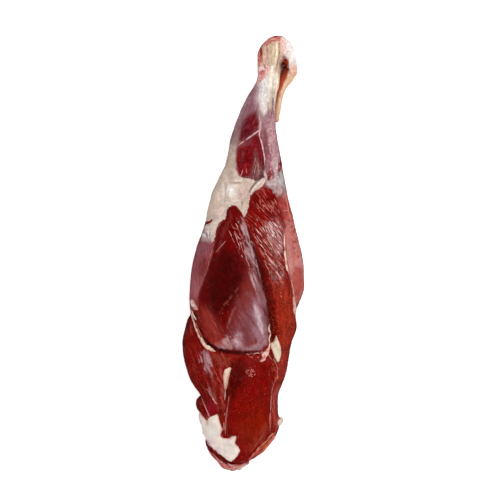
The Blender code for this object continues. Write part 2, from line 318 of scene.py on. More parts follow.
def apply_modifiers(obj):
    bpy.context.view_layer.update()
    shaped = bpy.data.meshes.new_from_object(obj.evaluated_get(bpy.context.evaluated_depsgraph_get()))
    old, obj.data = obj.data, shaped
    obj.modifiers.clear()
    bpy.data.meshes.remove(old)


def read_mesh(mesh):
    n = len(mesh.vertices)
    co, normal = np.empty(n * 3), np.empty(n * 3)
    mesh.vertices.foreach_get("co", co)
    mesh.vertices.foreach_get("normal", normal)
    return co.reshape(-1, 3), normal.reshape(-1, 3)


def write_mesh(mesh, co):
    mesh.vertices.foreach_set("co", co.ravel())
    mesh.update()


def store(mesh, name, values):
    """Keeps a number or a colour on every vertex."""
    values = np.asarray(values, float)
    if values.ndim == 1:
        mesh.attributes.new(name, "FLOAT", "POINT").data.foreach_set("value", values.astype(np.float32))
    else:
        mesh.attributes.new(name, "FLOAT_VECTOR", "POINT").data.foreach_set("vector", values.astype(np.float32).ravel())


def remesh(obj, voxel, soften, factor=0.5):
    grow = obj.modifiers.new("grow_together", "REMESH")
    grow.mode = "VOXEL"
    grow.voxel_size = voxel
    even = obj.modifiers.new("soften", "SMOOTH")
    even.factor = factor
    even.iterations = soften
    apply_modifiers(obj)


def add_loft(bm, rings):
    made = [[bm.verts.new(p) for p in ring] for ring in rings]
    n = len(made[0])
    for a, b in zip(made, made[1:]):
        for i in range(n):
            bm.faces.new((a[i], a[(i + 1) % n], b[(i + 1) % n], b[i]))
    bm.faces.new(list(reversed(made[0])))
    bm.faces.new(made[-1])


def core_rings(rows=190, sides=96):
    t = np.linspace(0, 1, rows)
    s = t - 0.075 * np.sin(2 * np.pi * t)
    y = STATIONS[0][0] + (STATIONS[-1][0] - STATIONS[0][0]) * s
    left, right, top, under = smooth_table(STATIONS, y).T
    angle = np.linspace(0, 2 * np.pi, sides, endpoint=False)
    ca, sa = (np.sign(q) * np.abs(q) ** (2 / SECTION) for q in (np.cos(angle), np.sin(angle)))
    rings = []
    for k in range(rows):
        middle = under[k] + (top[k] - under[k]) * WIDEST
        x = (left[k] + right[k]) / 2 + (right[k] - left[k]) / 2 * ca
        z = middle + np.where(sa > 0, top[k] - middle, middle - under[k]) * sa
        rings.append(to_frame(np.stack([x, np.full(sides, y[k]), z], -1)))
    return rings


def belly_rings(path, halves, end, sides=40, rows=60, caps=10):
    p = catmull(path, rows)
    h = catmull(halves, rows) if len(path) > 2 else np.linspace(halves[0], halves[-1], rows)
    tangent = np.gradient(p, axis=0)
    tangent /= np.linalg.norm(tangent, axis=1)[:, None]
    c = np.sin(np.linspace(0, np.pi / 2, caps)[1:])
    first = [(p[0] - tangent[0] * end * k, h[0] * math.sqrt(max(1 - k * k, 4e-3)), tangent[0]) for k in c[::-1]]
    last = [(p[-1] + tangent[-1] * end * k, h[-1] * math.sqrt(max(1 - k * k, 4e-3)), tangent[-1]) for k in c]
    angle = np.linspace(0, 2 * np.pi, sides, endpoint=False)
    rings = []
    for q, half, tan in first + [(p[i], h[i], tangent[i]) for i in range(rows)] + last:
        side = np.cross(tan, (0, 0, 1.0))
        side /= np.linalg.norm(side)
        up = np.cross(side, tan)
        rings.append(to_frame(q + np.cos(angle)[:, None] * side * half[0] + np.sin(angle)[:, None] * up * half[1]))
    return rings


# ================================================================ the body of the leg
bm = bmesh.new()
add_loft(bm, core_rings())
for path, halves, end in BELLIES.values():
    add_loft(bm, belly_rings(path, halves, end))
body = new_object("leg_meat", bm)
remesh(body, 0.0016, 16)


def section_of(y):
    """Left edge, right edge, height of the widest point and thickness at each y."""
    left, right, top, under = smooth_table(STATIONS, y).T
    left = np.where((y > 316) & (y < 390), np.minimum(left, 190.5), left)
    return left, right, under + (top - under) * WIDEST, top - under


def girth_place(g):
    """Where a point lies round the leg: g runs from -1 (left edge) under the leg to +1 (right edge), `below` is
    0 on the upper half and grows to 1 under the leg."""
    left, right, middle, thick = section_of(g[:, 1])
    ax = (g[:, 0] - (left + right) / 2) / ((right - left) / 2)
    az = (g[:, 2] - middle) / (thick / 2)
    theta = np.arctan2(-az, ax)  # 0 at the right edge, 90 degrees under the leg, 180 at the left edge
    below = np.clip(np.sin(theta), 0, 1)
    round_at = np.where(az < 0, 1 - 2 * np.abs(theta) / np.pi, np.sign(ax))
    return round_at, below, (right - left) * 0.5 + thick * 0.35


def lifted(p, outline, height, edge):
    """A rounded step up to `height` inside an outline."""
    d = np.clip(depth(p, outline, reach=2.0) / edge, 0, 1)
    return height * np.sqrt(1 - (1 - d) ** 2)


def ditch(p, path, deep, soft=1.6):
    """A smooth furrow along a stroke."""
    return -deep * step(beside(p, path, reach=soft + 1), -soft, 0.6)


def ridge(p, path, high, soft=1.2):
    return high * step(beside(p, path, reach=soft + 1), -soft, 0.6)


co, normal = read_mesh(body.data)
g = to_grid(co)
p = g[:, :2]
facing = step(normal[:, 2], 0.0, 0.45)
lift = np.zeros(len(co))
lift += lifted(p, ROUND, 3.2, 9.0)
lift += lifted(p, HIND, 2.4, 6.0)
lift += lifted(p, SIDE, 2.0, 7.0)
lift += lifted(p, OVAL, 3.2, 7.0)
lift += lifted(p, LOBE, 1.6, 7.0)
lift += ditch(p, GROOVE, 3.4, 2.6)
co += normal * (lift * facing * GRID)[:, None]
# long furrows between the muscles of the sides and the underside
where, below, span = girth_place(g)
wander = (noise(g, 40, 5) - 0.5) * 0.10
low = step(-normal[:, 2], -0.5, -0.05)
along = g[:, 1]
side_furrows = [(-0.66, 238, 420, 3.0), (-0.30, 150, 430, 2.0), (0.14, 190, 440, 2.2), (0.60, 205, 440, 2.8), (0.80, 100, 200, 1.5), (-0.75, 100, 170, 1.2)]
for at, y0, y1, deep in side_furrows:
    d = np.abs(where - at - wander) * span
    ends = step(along, y0, y0 + 25) * (1 - step(along, y1 - 25, y1))
    co -= normal * (deep * np.exp(-((d / 2.6) ** 2)) * ends * low * GRID)[:, None]
    co += normal * (0.45 * deep * np.exp(-(((d - 8) / 6) ** 2)) * ends * low * GRID)[:, None]
write_mesh(body.data, co)
remesh(body, 0.00122, 2, 0.4)
# the underside is plainer, so its mesh is coarser
normal = read_mesh(body.data)[1]
plain = body.vertex_groups.new(name="underside")
plain.add([int(i) for i in np.flatnonzero(normal[:, 2] < -0.15)], 1.0, "REPLACE")
coarse = body.modifiers.new("coarser", "DECIMATE")
coarse.ratio = 192000 / (2 * len(body.data.polygons))
coarse.vertex_group = "underside"
coarse.vertex_group_factor = 100
apply_modifiers(body)
body.vertex_groups.clear()

co, normal = read_mesh(body.data)
g = to_grid(co)
p = g[:, :2]
facing = step(normal[:, 2], -0.05, 0.35)
wobble = np.stack([noise(g, 5, 31) - 0.5, noise(g, 5, 32) - 0.5], -1) * 1.5
pw = p + wobble
fine = np.zeros(len(co))
# hock: the hollow beside the heel bone, tendon band, slits and folds
fine += ditch(p, [(284.8, 60, 0.8), (285.4, 64, 3.2), (285.6, 69, 3.6), (284.4, 75, 2.4), (282.0, 81, 1.0)], 4.2, 1.5)
for path, high in (
    ([(268.6, 46, 0.8), (269.6, 54, 1.2), (270.4, 63, 1.0), (271.4, 70, 0.6)], 1.0),
    ([(272.6, 43, 0.9), (273.0, 52, 1.3), (272.8, 61, 1.1), (272.2, 70, 0.6)], 1.3),
    ([(280.4, 44, 0.5), (280.8, 52, 0.9), (279.6, 61, 0.9), (278.6, 70, 0.7), (278.2, 84, 0.6)], 0.8),
    ([(264.2, 46, 0.5), (265.6, 55, 0.9), (265.8, 62, 0.6)], 0.8),
    ([(261.6, 86, 0.5), (262.6, 98, 0.8), (263.0, 112, 0.4)], 0.5),
):
    fine += ridge(p, path, high, 1.0)
fine += ridge(p, [(277.4, 46, 0.9), (276.8, 56, 1.0), (275.2, 66, 0.8), (272.6, 74, 0.8)], 0.8)
fine += ditch(p, [(279.9, 44, 0.3), (280.4, 56, 0.5), (279.8, 68, 0.4), (278.6, 84, 0.2)], 1.2)
fine += ditch(p, [(260.4, 48, 0.2), (261, 54, 0.5), (260.6, 60, 0.3)], 1.5, 1.2)
fine += ditch(p, [(265.6, 57, 0.1), (264.8, 66, 0.5), (263.6, 71, 0.2)], 1.0, 1.2)
for k, (fx, fy) in enumerate([(258.6, 71), (258.8, 74.5), (260.4, 78)]):
    fine += ditch(p, [(fx, fy, 0.2), (fx + 4, fy - 1.2, 0.3), (fx + 7, fy - 0.2, 0.1)], 0.7, 1.1)
fine += ridge(p, [(272.2, 70, 0.7), (270.2, 82, 0.9), (268, 95, 0.9), (266.4, 106, 0.6), (265, 116, 0.3)], 0.9)
fine += ridge(p, [(277.4, 80, 0.5), (276.4, 92, 0.7), (275, 106, 0.4)], 0.7)
# shank: the two windows and their borders
WINDOW_A = [(247.5, 118), (253, 115.5), (257, 117), (258.6, 123), (257.8, 129.5), (254.5, 133.5), (249, 137), (243.5, 140.5), (239.5, 143.5), (238.6, 138), (240.5, 131), (243.5, 124.5)]
WINDOW_B = [(241.5, 146), (247, 142.5), (252.5, 139.5), (257.5, 137), (260.2, 143), (262, 150), (263.6, 158), (264.2, 166), (262.6, 171), (258.5, 172), (255, 173.5), (251.6, 177.5), (246, 180), (240, 178), (237.5, 171), (236.2, 162), (236.8, 153), (238.6, 148)]
fine -= 0.7 * step(depth(p, WINDOW_A, 3), -0.5, 2.5) + 0.6 * step(depth(p, WINDOW_B, 3), -0.5, 2.5)
fine += ditch(p, [(263.4, 164, 0.2), (263, 173, 0.5), (260, 180, 0.6), (255, 184.6, 0.6), (251, 190, 0.5), (248.6, 195, 0.2)], 2.2, 1.6)
fine += ridge(p, [(264, 180, 0.8), (259, 184.6, 1.4), (254, 190, 1.6), (250.4, 197, 1.2), (247.8, 206, 0.8)], 1.3)
fine += ditch(p, [(279.6, 162, 0.2), (280, 171, 0.8), (278.4, 179, 0.5), (277.6, 185, 0.1)], 1.4, 1.4)
fine += ditch(p, [(266.6, 150, 0.2), (267.4, 160, 0.5), (268.4, 172, 0.8), (270, 181, 0.4)], 1.0, 1.4)
# knee: lumps, ridges and a fold
fine += 1.9 * np.exp(-(((p[:, 0] - 232) / 4.2) ** 2 + ((p[:, 1] - 194.5) / 4.6) ** 2))
fine += 1.1 * np.exp(-(((p[:, 0] - 241) / 4.5) ** 2 + ((p[:, 1] - 193) / 6) ** 2))
fine += ridge(p, [(231, 182.4, 0.5), (238, 181.8, 0.8), (247, 183.4, 0.5)], 0.9)
fine += ditch(p, [(223.4, 186, 0.1), (222.6, 194, 0.4), (223.6, 204, 0.2)], 0.8)
fine += ditch(p, [(226.5, 184, 0.1), (226.4, 194, 0.4), (228.4, 203, 0.3), (234, 205.5, 0.2)], 1.1)
fine += ditch(p, [(245.4, 197, 0.1), (243.6, 203, 0.5), (241.2, 210, 0.3)], 1.5)
fine += ditch(p, [(213.4, 220.6, 0.2), (209.4, 223.4, 0.9), (205.4, 226, 0.7)], 2.0)
# slits under the round muscle and beside the outer thigh, and the folded butt end
fine += ditch(p, [(200, 327, 0.1), (203.4, 336, 0.6), (210, 343.6, 0.8), (219, 348.6, 0.8), (232, 351.4, 0.7), (246, 352, 0.7), (259, 351, 0.4)], 3.0, 1.8)
fine += ditch(p, [(191, 313, 0.2), (194.4, 321, 0.4), (197.4, 331, 0.4), (201.6, 341, 0.4), (202.4, 351, 0.3)], 2.2, 1.5)
fine += ditch(p, [(202.6, 352, 0.1), (204.6, 362, 0.3), (208, 375, 0.4), (213, 389, 0.4), (218, 401, 0.2)], 1.4, 1.6)
fine += ditch(p, [(232, 361, 0.2), (228.6, 372, 0.5), (226.6, 384, 0.6), (227, 396, 0.4), (226.8, 412, 0.3), (226, 431, 0.2)], 1.8, 1.6)
fine += ditch(p, [(270.6, 357, 0.1), (272, 366, 0.3), (272.6, 380, 0.4), (271.8, 400, 0.4), (272, 420, 0.2)], 1.2, 1.8)
fine += ditch(p, [(270.2, 349, 0.3), (273.4, 358, 0.6), (277, 364.6, 0.3)], 1.5, 1.4)
fine += ditch(p, [(205.6, 440, 0.4), (208.6, 446, 1.2), (213, 452.0, 1.3), (219, 457.4, 1.0), (226.6, 461.6, 0.9), (236, 464, 0.4)], 4.2, 1.6)
fine += ridge(p, [(206.6, 440.6, 0.4), (212, 447.6, 0.8), (219, 454, 0.8), (227, 459, 0.6)], 1.4, 1.0)
fine += ridge(p, [(247.6, 460, 0.4), (254, 453, 0.9), (262, 443.6, 0.9), (269.6, 434, 0.7), (276.6, 428, 0.5)], 1.2)
fine += ditch(p, [(251, 461.6, 0.3), (259, 453, 0.8), (267, 442.6, 0.7), (273, 435.6, 0.3)], 2.2, 1.3)
fine += ridge(p, [(256, 458, 0.4), (263, 450, 0.9), (269.6, 442, 0.8), (275, 436, 0.4)], 1.4, 1.0)
fine += ridge(p, [(207.6, 450, 0.8), (213.6, 457, 1.5), (221.6, 462.6, 1.4), (233, 467, 1.8), (242, 465, 0.9), (248, 462, 0.3)], 2.8, 1.6)
for k, (bx, by) in enumerate([(209.4, 453), (213.6, 458), (219, 462), (225.4, 465.4), (231.6, 466.6), (238.6, 467.4), (244.6, 465)]):
    fine += (0.6 if k % 2 else -0.3) * np.exp(-(((p[:, 0] - bx) / 2.2) ** 2 + ((p[:, 1] - by) / 1.8) ** 2))
fine += ditch(p, [(228, 464.4, 0.2), (235, 467.6, 0.5), (242, 468.4, 0.2)], 1.0, 1.0)
fine += ditch(p, [(197.4, 397.6, 0.3), (200.6, 404, 0.5), (205, 411, 0.4), (208.6, 419, 0.3)], 1.6, 1.4)
# lumpy fat and soft unevenness everywhere
lumps = noise(g, 9, 41, 2) - 0.5
fine += 1.5 * lumps * step(depth(pw, HIP_FAT, 3), -1, 2) + 1.1 * step(depth(pw, HIP_FAT, 3), -0.8, 1.6)
general = (noise(g, 22, 42, 2) - 0.5) * 1.6 + (noise(g, 7, 43, 2) - 0.5) * 0.45
co += normal * ((fine * facing + general) * GRID)[:, None]

# fibres: each muscle's own direction
FIBRE = {"round": (0.46, 0.89), "hind": (0.60, 0.80), "oval": (0.10, 0.99), "lobe": (0.40, 0.92), "side": (0.08, 1.0), "rest": (0.12, 0.99)}
which = np.stack([depth(p, ROUND), depth(p, HIND), depth(p, OVAL), depth(p, LOBE), depth(p, SIDE), np.full(len(p), -1.0)], -1).argmax(-1)
direction = np.array(list(FIBRE.values()))[which]
direction[(which == 5) & (p[:, 1] > 345) & (p[:, 0] < 232)] = (0.44, 0.90)
direction[(which == 5) & (p[:, 1] < 165) & (p[:, 0] < 258)] = (-0.34, 0.94)
turn = (step(p[:, 1], 268, 306) * (which == 1))[:, None]
direction = direction * (1 - turn) + np.array([0.04, 1.0]) * turn
direction /= np.linalg.norm(direction, axis=1)[:, None]
origin = np.array([(232, 280), (274, 284), (250, 400), (196, 360), (296, 260), (240, 300)], float)[which]
across = (p[:, 0] - origin[:, 0]) * direction[:, 1] - (p[:, 1] - origin[:, 1]) * direction[:, 0]
alongf = (p[:, 0] - origin[:, 0]) * direction[:, 0] + (p[:, 1] - origin[:, 1]) * direction[:, 1]
where, below, span = girth_place(g)
beneath = step(-normal[:, 2], -0.25, -0.05)
under = step(-normal[:, 2], -0.52, -0.32)
across = np.where(under > 0.5, where * span, across)
alongf = np.where(under > 0.5, p[:, 1], alongf)
across = across + (noise(g, 14, 55, 2) - 0.5) * 5
fib = np.stack([across, alongf, which * 7.3 + (under > 0.5) * 50.0], -1)
fibrous = np.array([0.12, 0.80, 0.07, 0.34, 0.28, 0.45])[which]
fibrous = np.where(which == 1, fibrous - 0.55 * step(p[:, 1], 275, 305), fibrous)
fibrous[(which == 5) & (p[:, 1] > 345) & (p[:, 0] < 232)] = 0.75
fibrous[(which == 5) & (p[:, 1] > 345) & (p[:, 0] > 250)] = 0.22
fibrous *= np.where(which == 5, 0.25 + 0.75 * step(p[:, 1], 84, 112), 1.0)
fibrous *= 1 - 0.85 * step(beside(p, GROOVE, 4.0), -2.0, 0.6)
fibrous *= 1 - 0.85 * (1 - step(normal[:, 2], 0.10, 0.60))
fibrous *= 1 - 0.65 * step(depth(p, WINDOW_B, 3), -0.6, 1.0)
fibrous = np.where(beneath > 0.5, 0.7, fibrous)
fibrous *= 1 - 0.6 * step(depth(p, [(222, 246), (234, 250), (246, 280), (242, 300), (226, 314), (206, 312), (203, 292), (212, 266)], 8), -2.0, 4.0) * (which == 0)
fibrous += 0.45 * step(depth(p, [(200, 298), (212, 312), (226, 332), (222, 347), (208, 340), (199, 322)], 6), -2, 4)
strand_relief = noise(np.stack([across / 2.4, alongf / 20, which * 3.1], -1), 1.0, 51, 2) - 0.5
pitted = noise(g, 2.6, 57, 2) - 0.5
smoother = np.where((which == 0) | (which == 2), 0.45, 1.0) + 0.9 * step(p[:, 1], 268, 300) * ((which == 1) | ((which == 5) & (p[:, 0] > 262)))
co += normal * ((strand_relief * (0.03 + 1.0 * fibrous) + pitted * 0.32 * smoother) * GRID)[:, None]
co[:, 2] = np.maximum(co[:, 2], 0.0)
write_mesh(body.data, co)
print("body", len(body.data.vertices), "vertices", len(body.data.polygons), "faces")

# ================================================================ painting the body
co, normal = read_mesh(body.data)
g = to_grid(co)
p = g[:, :2]
left, right, middle, thick = section_of(g[:, 1])
warp = np.stack([noise(g, 6, 61, 2) - 0.5, noise(g, 6, 62, 2) - 0.5], -1)
n = len(co)
flank = 1 - step(normal[:, 2], 0.08, 0.55)
ragged = np.stack([noise(g, 11, 66, 3) - 0.5, noise(g, 11, 67, 3) - 0.5], -1) * (26 * flank)[:, None]
pw = p + warp * 2.2 + ragged

meat = np.tile(tone(118, 12, 8), (n, 1))


def paint(base, colour, share):
    share = np.clip(share, 0, 1)[:, None]
    return base * (1 - share) + np.asarray(colour) * share


def region(outline, soft=1.5, points=None, reach=10.0):
    return step(depth(pw if points is None else points, outline, reach), -soft, soft)


def stroke(path, soft=1.2, points=None):
    return step(beside(p if points is None else points, path, soft + 2), -soft, soft * 0.4)


# --- red meat, from the hock down
meat = paint(meat, tone(122, 72, 82), 1 - step(p[:, 1], 178, 205))  # the shank lies under a mauve skin
meat = paint(meat, tone(116, 40, 56), region([(255, 92), (262, 96), (262, 112), (256, 118), (248, 120), (244, 112), (250, 100)], 5))
meat = paint(meat, tone(100, 20, 34), region(WINDOW_A, 2.0))
meat = paint(meat, tone(92, 30, 48), region([(246, 116), (252, 114), (252, 122), (246, 130), (241, 134), (241, 126)], 3) * 0.5)
meat = paint(meat, tone(116, 18, 28), region([(x - (1.8 if x < 246 else 0), y) for x, y in WINDOW_B], 1.0))
meat = paint(meat, tone(78, 6, 14), region([(243, 152), (250, 148), (255, 152), (254, 164), (249, 172), (243, 168)], 4) * 0.35)
meat = paint(meat, tone(84, 14, 28), region([(241, 131), (250, 129), (252, 136), (246, 141), (239, 145)], 2) * 0.8)
meat = paint(meat, tone(150, 70, 86), region([(246.4, 128), (249.6, 127.4), (249.4, 130.6), (246.6, 131)], 1.6) * 0.5)
meat = paint(meat, tone(98, 20, 32), region([(252, 139), (259, 135), (264.6, 160), (264.6, 168), (260, 168), (256, 152)], 1.4) * 0.6)
meat = paint(meat, tone(168, 40, 50), stroke([(246, 164, 0.1), (245.4, 170, 0.5), (246.6, 176, 0.2)], 0.8) * 0.7)
meat = paint(meat, tone(120, 16, 10), region(HIND, 1.6))
meat = paint(meat, tone(128, 12, 7), region([(250, 197), (268, 189), (277, 200), (283, 215), (283, 232), (262, 236), (250, 220)], 5) * 0.8)
meat = paint(meat, tone(98, 4, 4), region([(251, 199), (259, 194.6), (268, 196), (270, 206), (262, 214), (253, 211)], 3) * 0.65)
meat = paint(meat, tone(96, 4, 4), region([(262, 214), (272, 212), (280, 220), (277, 225), (268, 222)], 2.4) * 0.55)
meat = paint(meat, tone(106, 10, 6), region([(258, 268), (264, 276), (272, 300), (277, 326), (276, 340), (270, 330), (264, 300)], 4) * 0.8)
meat = paint(meat, tone(145, 40, 26), region([(274, 285), (280, 278), (288, 284), (295, 310), (296, 335), (286, 372), (281, 392), (277, 396), (278, 350), (277, 320)], 4) * 0.9)
meat = paint(meat, tone(166, 58, 58), region([(279, 205), (284, 196), (289, 198), (294, 215), (296, 224), (287, 228), (283, 218)], 3) * 0.85)
meat = paint(meat, tone(168, 72, 64), region(SIDE, 2.0))
meat = paint(meat, tone(102, 7, 4), region(ROUND, 1.5))
# the dark core of the round muscle: its own deep red, darkened further as painted shade where the muscle turns away
# from the light
meat = paint(meat, tone(66, 0, 0), region([(222, 250), (234, 252), (243, 268), (246, 284), (241, 298), (231, 308), (218, 315), (208, 309), (205, 292), (212, 270)], 8))
meat = paint(meat, tone(132, 26, 18), region([(199, 300), (207, 306), (216, 326), (226, 338), (224, 349), (212, 344), (202, 330)], 4) * 0.85)
meat = paint(meat, tone(108, 24, 18), region([(245, 280), (252, 280), (256, 294), (250, 306), (242, 302), (241, 290)], 5) * 0.7)
# painted shade: the groove between the round and the hind muscle is darkened along its length, deepest down its middle
meat = paint(meat, tone(84, 3, 2), stroke(GROOVE, 2.6))
meat = paint(meat, tone(52, 0, 0), stroke([(251, 246, 0.3), (257, 262, 0.7), (262.4, 279, 0.9), (266.6, 298, 0.9), (270, 318, 0.8), (271.6, 332, 0.5)], 1.4) * 0.75)
meat = paint(meat, tone(118, 13, 6), region(OVAL, 1.4))
# the upper left of the oval muscle beside its slit: its own dark red, with painted shade on the side away from the
# light
meat = paint(meat, tone(70, 0, 0), region([(233, 362), (243, 358), (247, 368), (242, 384), (234, 396), (227, 394), (227, 380)], 7) * 0.95)
meat = paint(meat, tone(128, 24, 12), region([(246, 400), (262, 392), (269, 406), (268, 428), (250, 450), (234, 440), (236, 414)], 9) * 0.7)
meat = paint(meat, tone(130, 32, 16), region([(250, 412), (264, 406), (266, 426), (250, 448), (238, 440), (240, 424)], 7) * 0.3)
meat = paint(meat, tone(124, 26, 18), region([(212, 350), (226, 352), (234, 354), (232, 362), (222, 366), (212, 362)], 3) * 0.9)
meat = paint(meat, tone(130, 26, 18), region([(212, 364), (224, 366), (226, 396), (227, 432), (221, 430), (219, 410), (212, 386)], 3) * 0.7)
meat = paint(meat, tone(114, 8, 5), region(LOBE, 1.5))
# painted shade: the left edge of the outer thigh is darkened as the side turned away from the light
meat = paint(meat, tone(78, 1, 0), (1 - step(p[:, 0], 183.5, 189)) * step(p[:, 1], 316, 326) * (1 - step(p[:, 1], 350, 372)) * 0.8)
meat = paint(meat, tone(132, 12, 34), region([(207, 401), (213, 398), (218, 405), (217, 411), (211, 415), (208, 409)], 2.5) * 0.8)
meat = paint(meat, tone(84, 6, 12), region([(208, 389), (213, 391), (217, 402), (213, 401)], 1.8) * 0.6)
meat = paint(meat, tone(132, 10, 16), region([(192, 397), (200, 397), (206, 407), (208.8, 419), (200, 416), (192, 408)], 0.9, p))
meat = paint(meat, tone(88, 2, 6), region([(194, 403), (199, 402), (203.4, 412), (199, 414), (194, 409)], 1.6, p) * 0.8)
meat = paint(meat, tone(142, 34, 28), region([(279, 352), (292, 352), (291, 374), (284, 392), (276, 390), (277, 366)], 3) * 0.8)
meat = paint(meat, tone(228, 122, 108), stroke([(249, 462, 1.4), (259.6, 452.6, 3.2), (268, 443.6, 3.2), (277, 433, 2.0)], 1.2, p + 2 * warp))
meat = paint(meat, tone(110, 6, 6), stroke([(250, 460, 0.4), (259, 450.6, 0.7), (267, 441, 0.6), (275, 433, 0.3)], 0.9, p + 2 * warp) * 0.8)
meat = paint(meat, tone(224, 116, 62), stroke([(261, 452, 0.4), (265, 447.6, 1.3), (268.6, 443.2, 0.7)], 1.0, pw) * 0.85)
meat = paint(meat, tone(112, 10, 20), stroke([(204.6, 440, 1.0), (208.6, 446, 2.0), (213, 452, 1.8), (219, 457, 1.5), (228, 461.6, 1.6), (237, 463.6, 0.8)], 1.2) * 0.9)
meat = paint(meat, tone(198, 92, 90), stroke([(206.6, 450, 1.0), (212.6, 457.6, 1.8), (221, 463.8, 2.0), (232, 467.4, 2.0), (243, 466, 1.6)], 1.2, pw) * 0.9)
# the pale pink-white on the lip of the butt end: its own colour with a painted highlight
meat = paint(meat, tone(214, 170, 160), stroke([(224, 465.4, 0.4), (230, 467.6, 1.5), (238, 468.2, 1.7), (246, 465, 0.9)], 1.0, pw + 2.5 * warp) * 0.85)
meat = paint(meat, tone(206, 120, 120), stroke([(205.4, 446, 0.4), (208.4, 452, 0.7), (213, 458.6, 0.5)], 0.9, pw) * 0.7)
meat = paint(meat, tone(206, 118, 116), stroke([(212.6, 454.8, 0.8), (217, 459, 1.3), (225, 463.6, 1.0)], 0.9, pw) * 0.75)
beyond = np.clip(1.4 * flank, 0, 1) * step(p[:, 1], 388, 400)
meat = paint(meat, tone(120, 16, 12), beyond * 0.85)
# painted shade in the slits under flaps and in the creases: path and how dark
slits = [
    ([(200.4, 328, 0.2), (204, 336.6, 0.7), (210, 343.4, 1.0), (219, 348.2, 1.0), (232, 351.0, 0.7), (246, 351.8, 0.6), (258, 350.8, 0.2)], 0.9),
    ([(191.6, 314, 0.5), (190, 322, 0.6), (187, 330, 0.3)], 0.8),
    ([(263.6, 165, 0.1), (263.2, 173, 0.35), (260.4, 180.6, 0.45), (255.4, 185.2, 0.45), (251.4, 190.2, 0.35), (249, 194.6, 0.1)], 0.8),
    ([(205.6, 441, 0.2), (208.4, 446, 1.0), (212.6, 451.6, 0.7), (219, 457.2, 0.4), (227, 461.4, 0.6), (236, 463.6, 0.2)], 0.7),
    ([(202.0, 396.6, 0.5), (199.6, 397.2, 0.6), (197.6, 398, 0.4)], 0.8),
    ([(208.6, 223.6, 0.1), (206, 225.4, 0.6), (204, 226.6, 0.9), (203, 228, 0.5)], 0.95),
    ([(251, 462, 0.1), (259, 453, 0.35), (267, 442.6, 0.3), (273, 435.6, 0.1)], 0.55),
    ([(231.6, 362, 0.1), (228.8, 372, 0.4), (227.2, 384, 0.5), (227, 393, 0.2)], 0.8),
    ([(269.8, 350, 0.2), (272.2, 357, 0.5), (276.2, 364.2, 0.2)], 0.8),
    ([(260.6, 49, 0.1), (261, 54, 0.45), (260.6, 58.6, 0.1)], 0.7),
    ([(264.6, 66.4, 0.3), (264.4, 69.2, 0.4)], 0.7),
    ([(245.2, 199, 0.1), (243.8, 203, 0.2), (242, 208, 0.1)], 0.35),
    ([(282.4, 57.6, 0.2), (283.2, 60, 0.4)], 0.4),
    ([(274.6, 37.4, 0.5), (276.4, 37.8, 0.4)], 0.7),
    ([(288.6, 41.4, 0.3), (289.4, 43, 0.3)], 0.6),
    ([(191, 313.4, 0.2), (195, 314.6, 0.7), (198.6, 318, 0.4)], 0.7),
    ([(194, 397.4, 0.6), (198.4, 397.6, 0.6), (202.4, 400.6, 0.3)], 0.8),
    ([(203, 405, 0.1), (206, 411, 0.4), (207, 416, 0.2)], 0.5),
    ([(294.2, 312.6, 0.3), (296.4, 313.6, 0.5)], 0.7),
    ([(201.6, 253, 0.1), (201.2, 262, 0.3), (199.6, 270, 0.1)], 0.25),
]
crease_shade = np.zeros(n)
for path, share in slits:
    crease_shade = np.maximum(crease_shade, stroke(path, 1.2) * share)
# painted shade at the top of the hollow beside the heel bone
crease_shade = np.maximum(crease_shade, stroke([(283.4, 63.4, 0.6), (282.8, 66.6, 1.2), (282.8, 69.6, 0.4)], 1.3) * 0.95)
crease_shade = np.maximum(crease_shade, stroke([(285.6, 70, 0.6), (284.6, 74, 0.5)], 1.6) * 0.35)
facing = step(normal[:, 2], -0.1, 0.3)
crease_shade *= np.clip(facing + 0.2, 0, 1)

# --- pale membranes: their colour and how dense they are
veil_colour = np.tile(tone(160, 108, 112), (n, 1))
veil_dense = np.zeros(n)


small_torn = noise(p, 3.0, 64, 2) - 0.5
streak_torn = noise(np.stack([across / 1.3, alongf / 12, np.zeros(n)], -1), 1.0, 65, 2) - 0.5


def lay(outline, colour, dense, soft=2.0, reach=10.0, path=None, torn=0.0, streaky=0.0, cap=None):
    """Adds a membrane with soft borders; a later one covers an earlier one. It can be ragged or streaked. Some layers
    laid with it are painted highlights.
    """
    global veil_colour, veil_dense
    d = beside(pw, path, reach) if path is not None else depth(pw, outline, reach)
    d = d if cap is None else np.minimum(d, cap)
    d = d + torn * 2 * small_torn + streaky * 2 * streak_torn
    give = soft + 3.5 * flank
    share = step(d, -give, give)
    veil_colour = paint(veil_colour, colour, np.where(veil_dense < 0.05, share > 0, share))
    veil_dense = veil_dense * (1 - share) + dense * share


shank_left = [(262, 80), (254, 84), (247, 97), (238, 118), (230, 142), (224, 160), (220, 174), (236, 174), (237, 150), (241, 128), (247, 114), (258, 104), (266, 92)]
lay(shank_left, tone(150, 110, 114), 0.85, 3)
lay([(228, 134), (238, 128), (238, 146), (236, 160), (240, 176), (230, 182), (214, 182), (220, 156)], tone(164, 136, 130), 0.92, 5, torn=2)
lay([(226, 150), (234, 146), (237, 160), (238, 174), (234, 186), (212, 190), (218, 170)], tone(198, 176, 160), 0.985, 4.5, torn=2.5)
lay([(246, 96), (257, 92), (262, 98), (260, 112), (252, 116), (242, 122), (236, 130), (232, 140), (230, 134), (236, 116)], tone(146, 106, 114), 0.8, 4)
lay([(262, 112), (270, 104), (276, 112), (278, 130), (281, 150), (284, 172), (282, 190), (272, 190), (266, 172), (264, 152), (262, 132)], tone(162, 114, 120), 0.85, 2)
lay([(266, 112), (272, 110), (274, 122), (270, 136), (264, 126)], tone(184, 148, 150), 0.85, 3)
lay([(272, 128), (277, 130), (280, 150), (279, 164), (273, 166), (269, 150)], tone(192, 156, 158), 0.8, 3)
lay([(265, 118), (275, 112), (280, 136), (283, 160), (281, 182), (269, 182), (266, 150)], tone(190, 148, 152), 0.94, 2.4, torn=2.5)
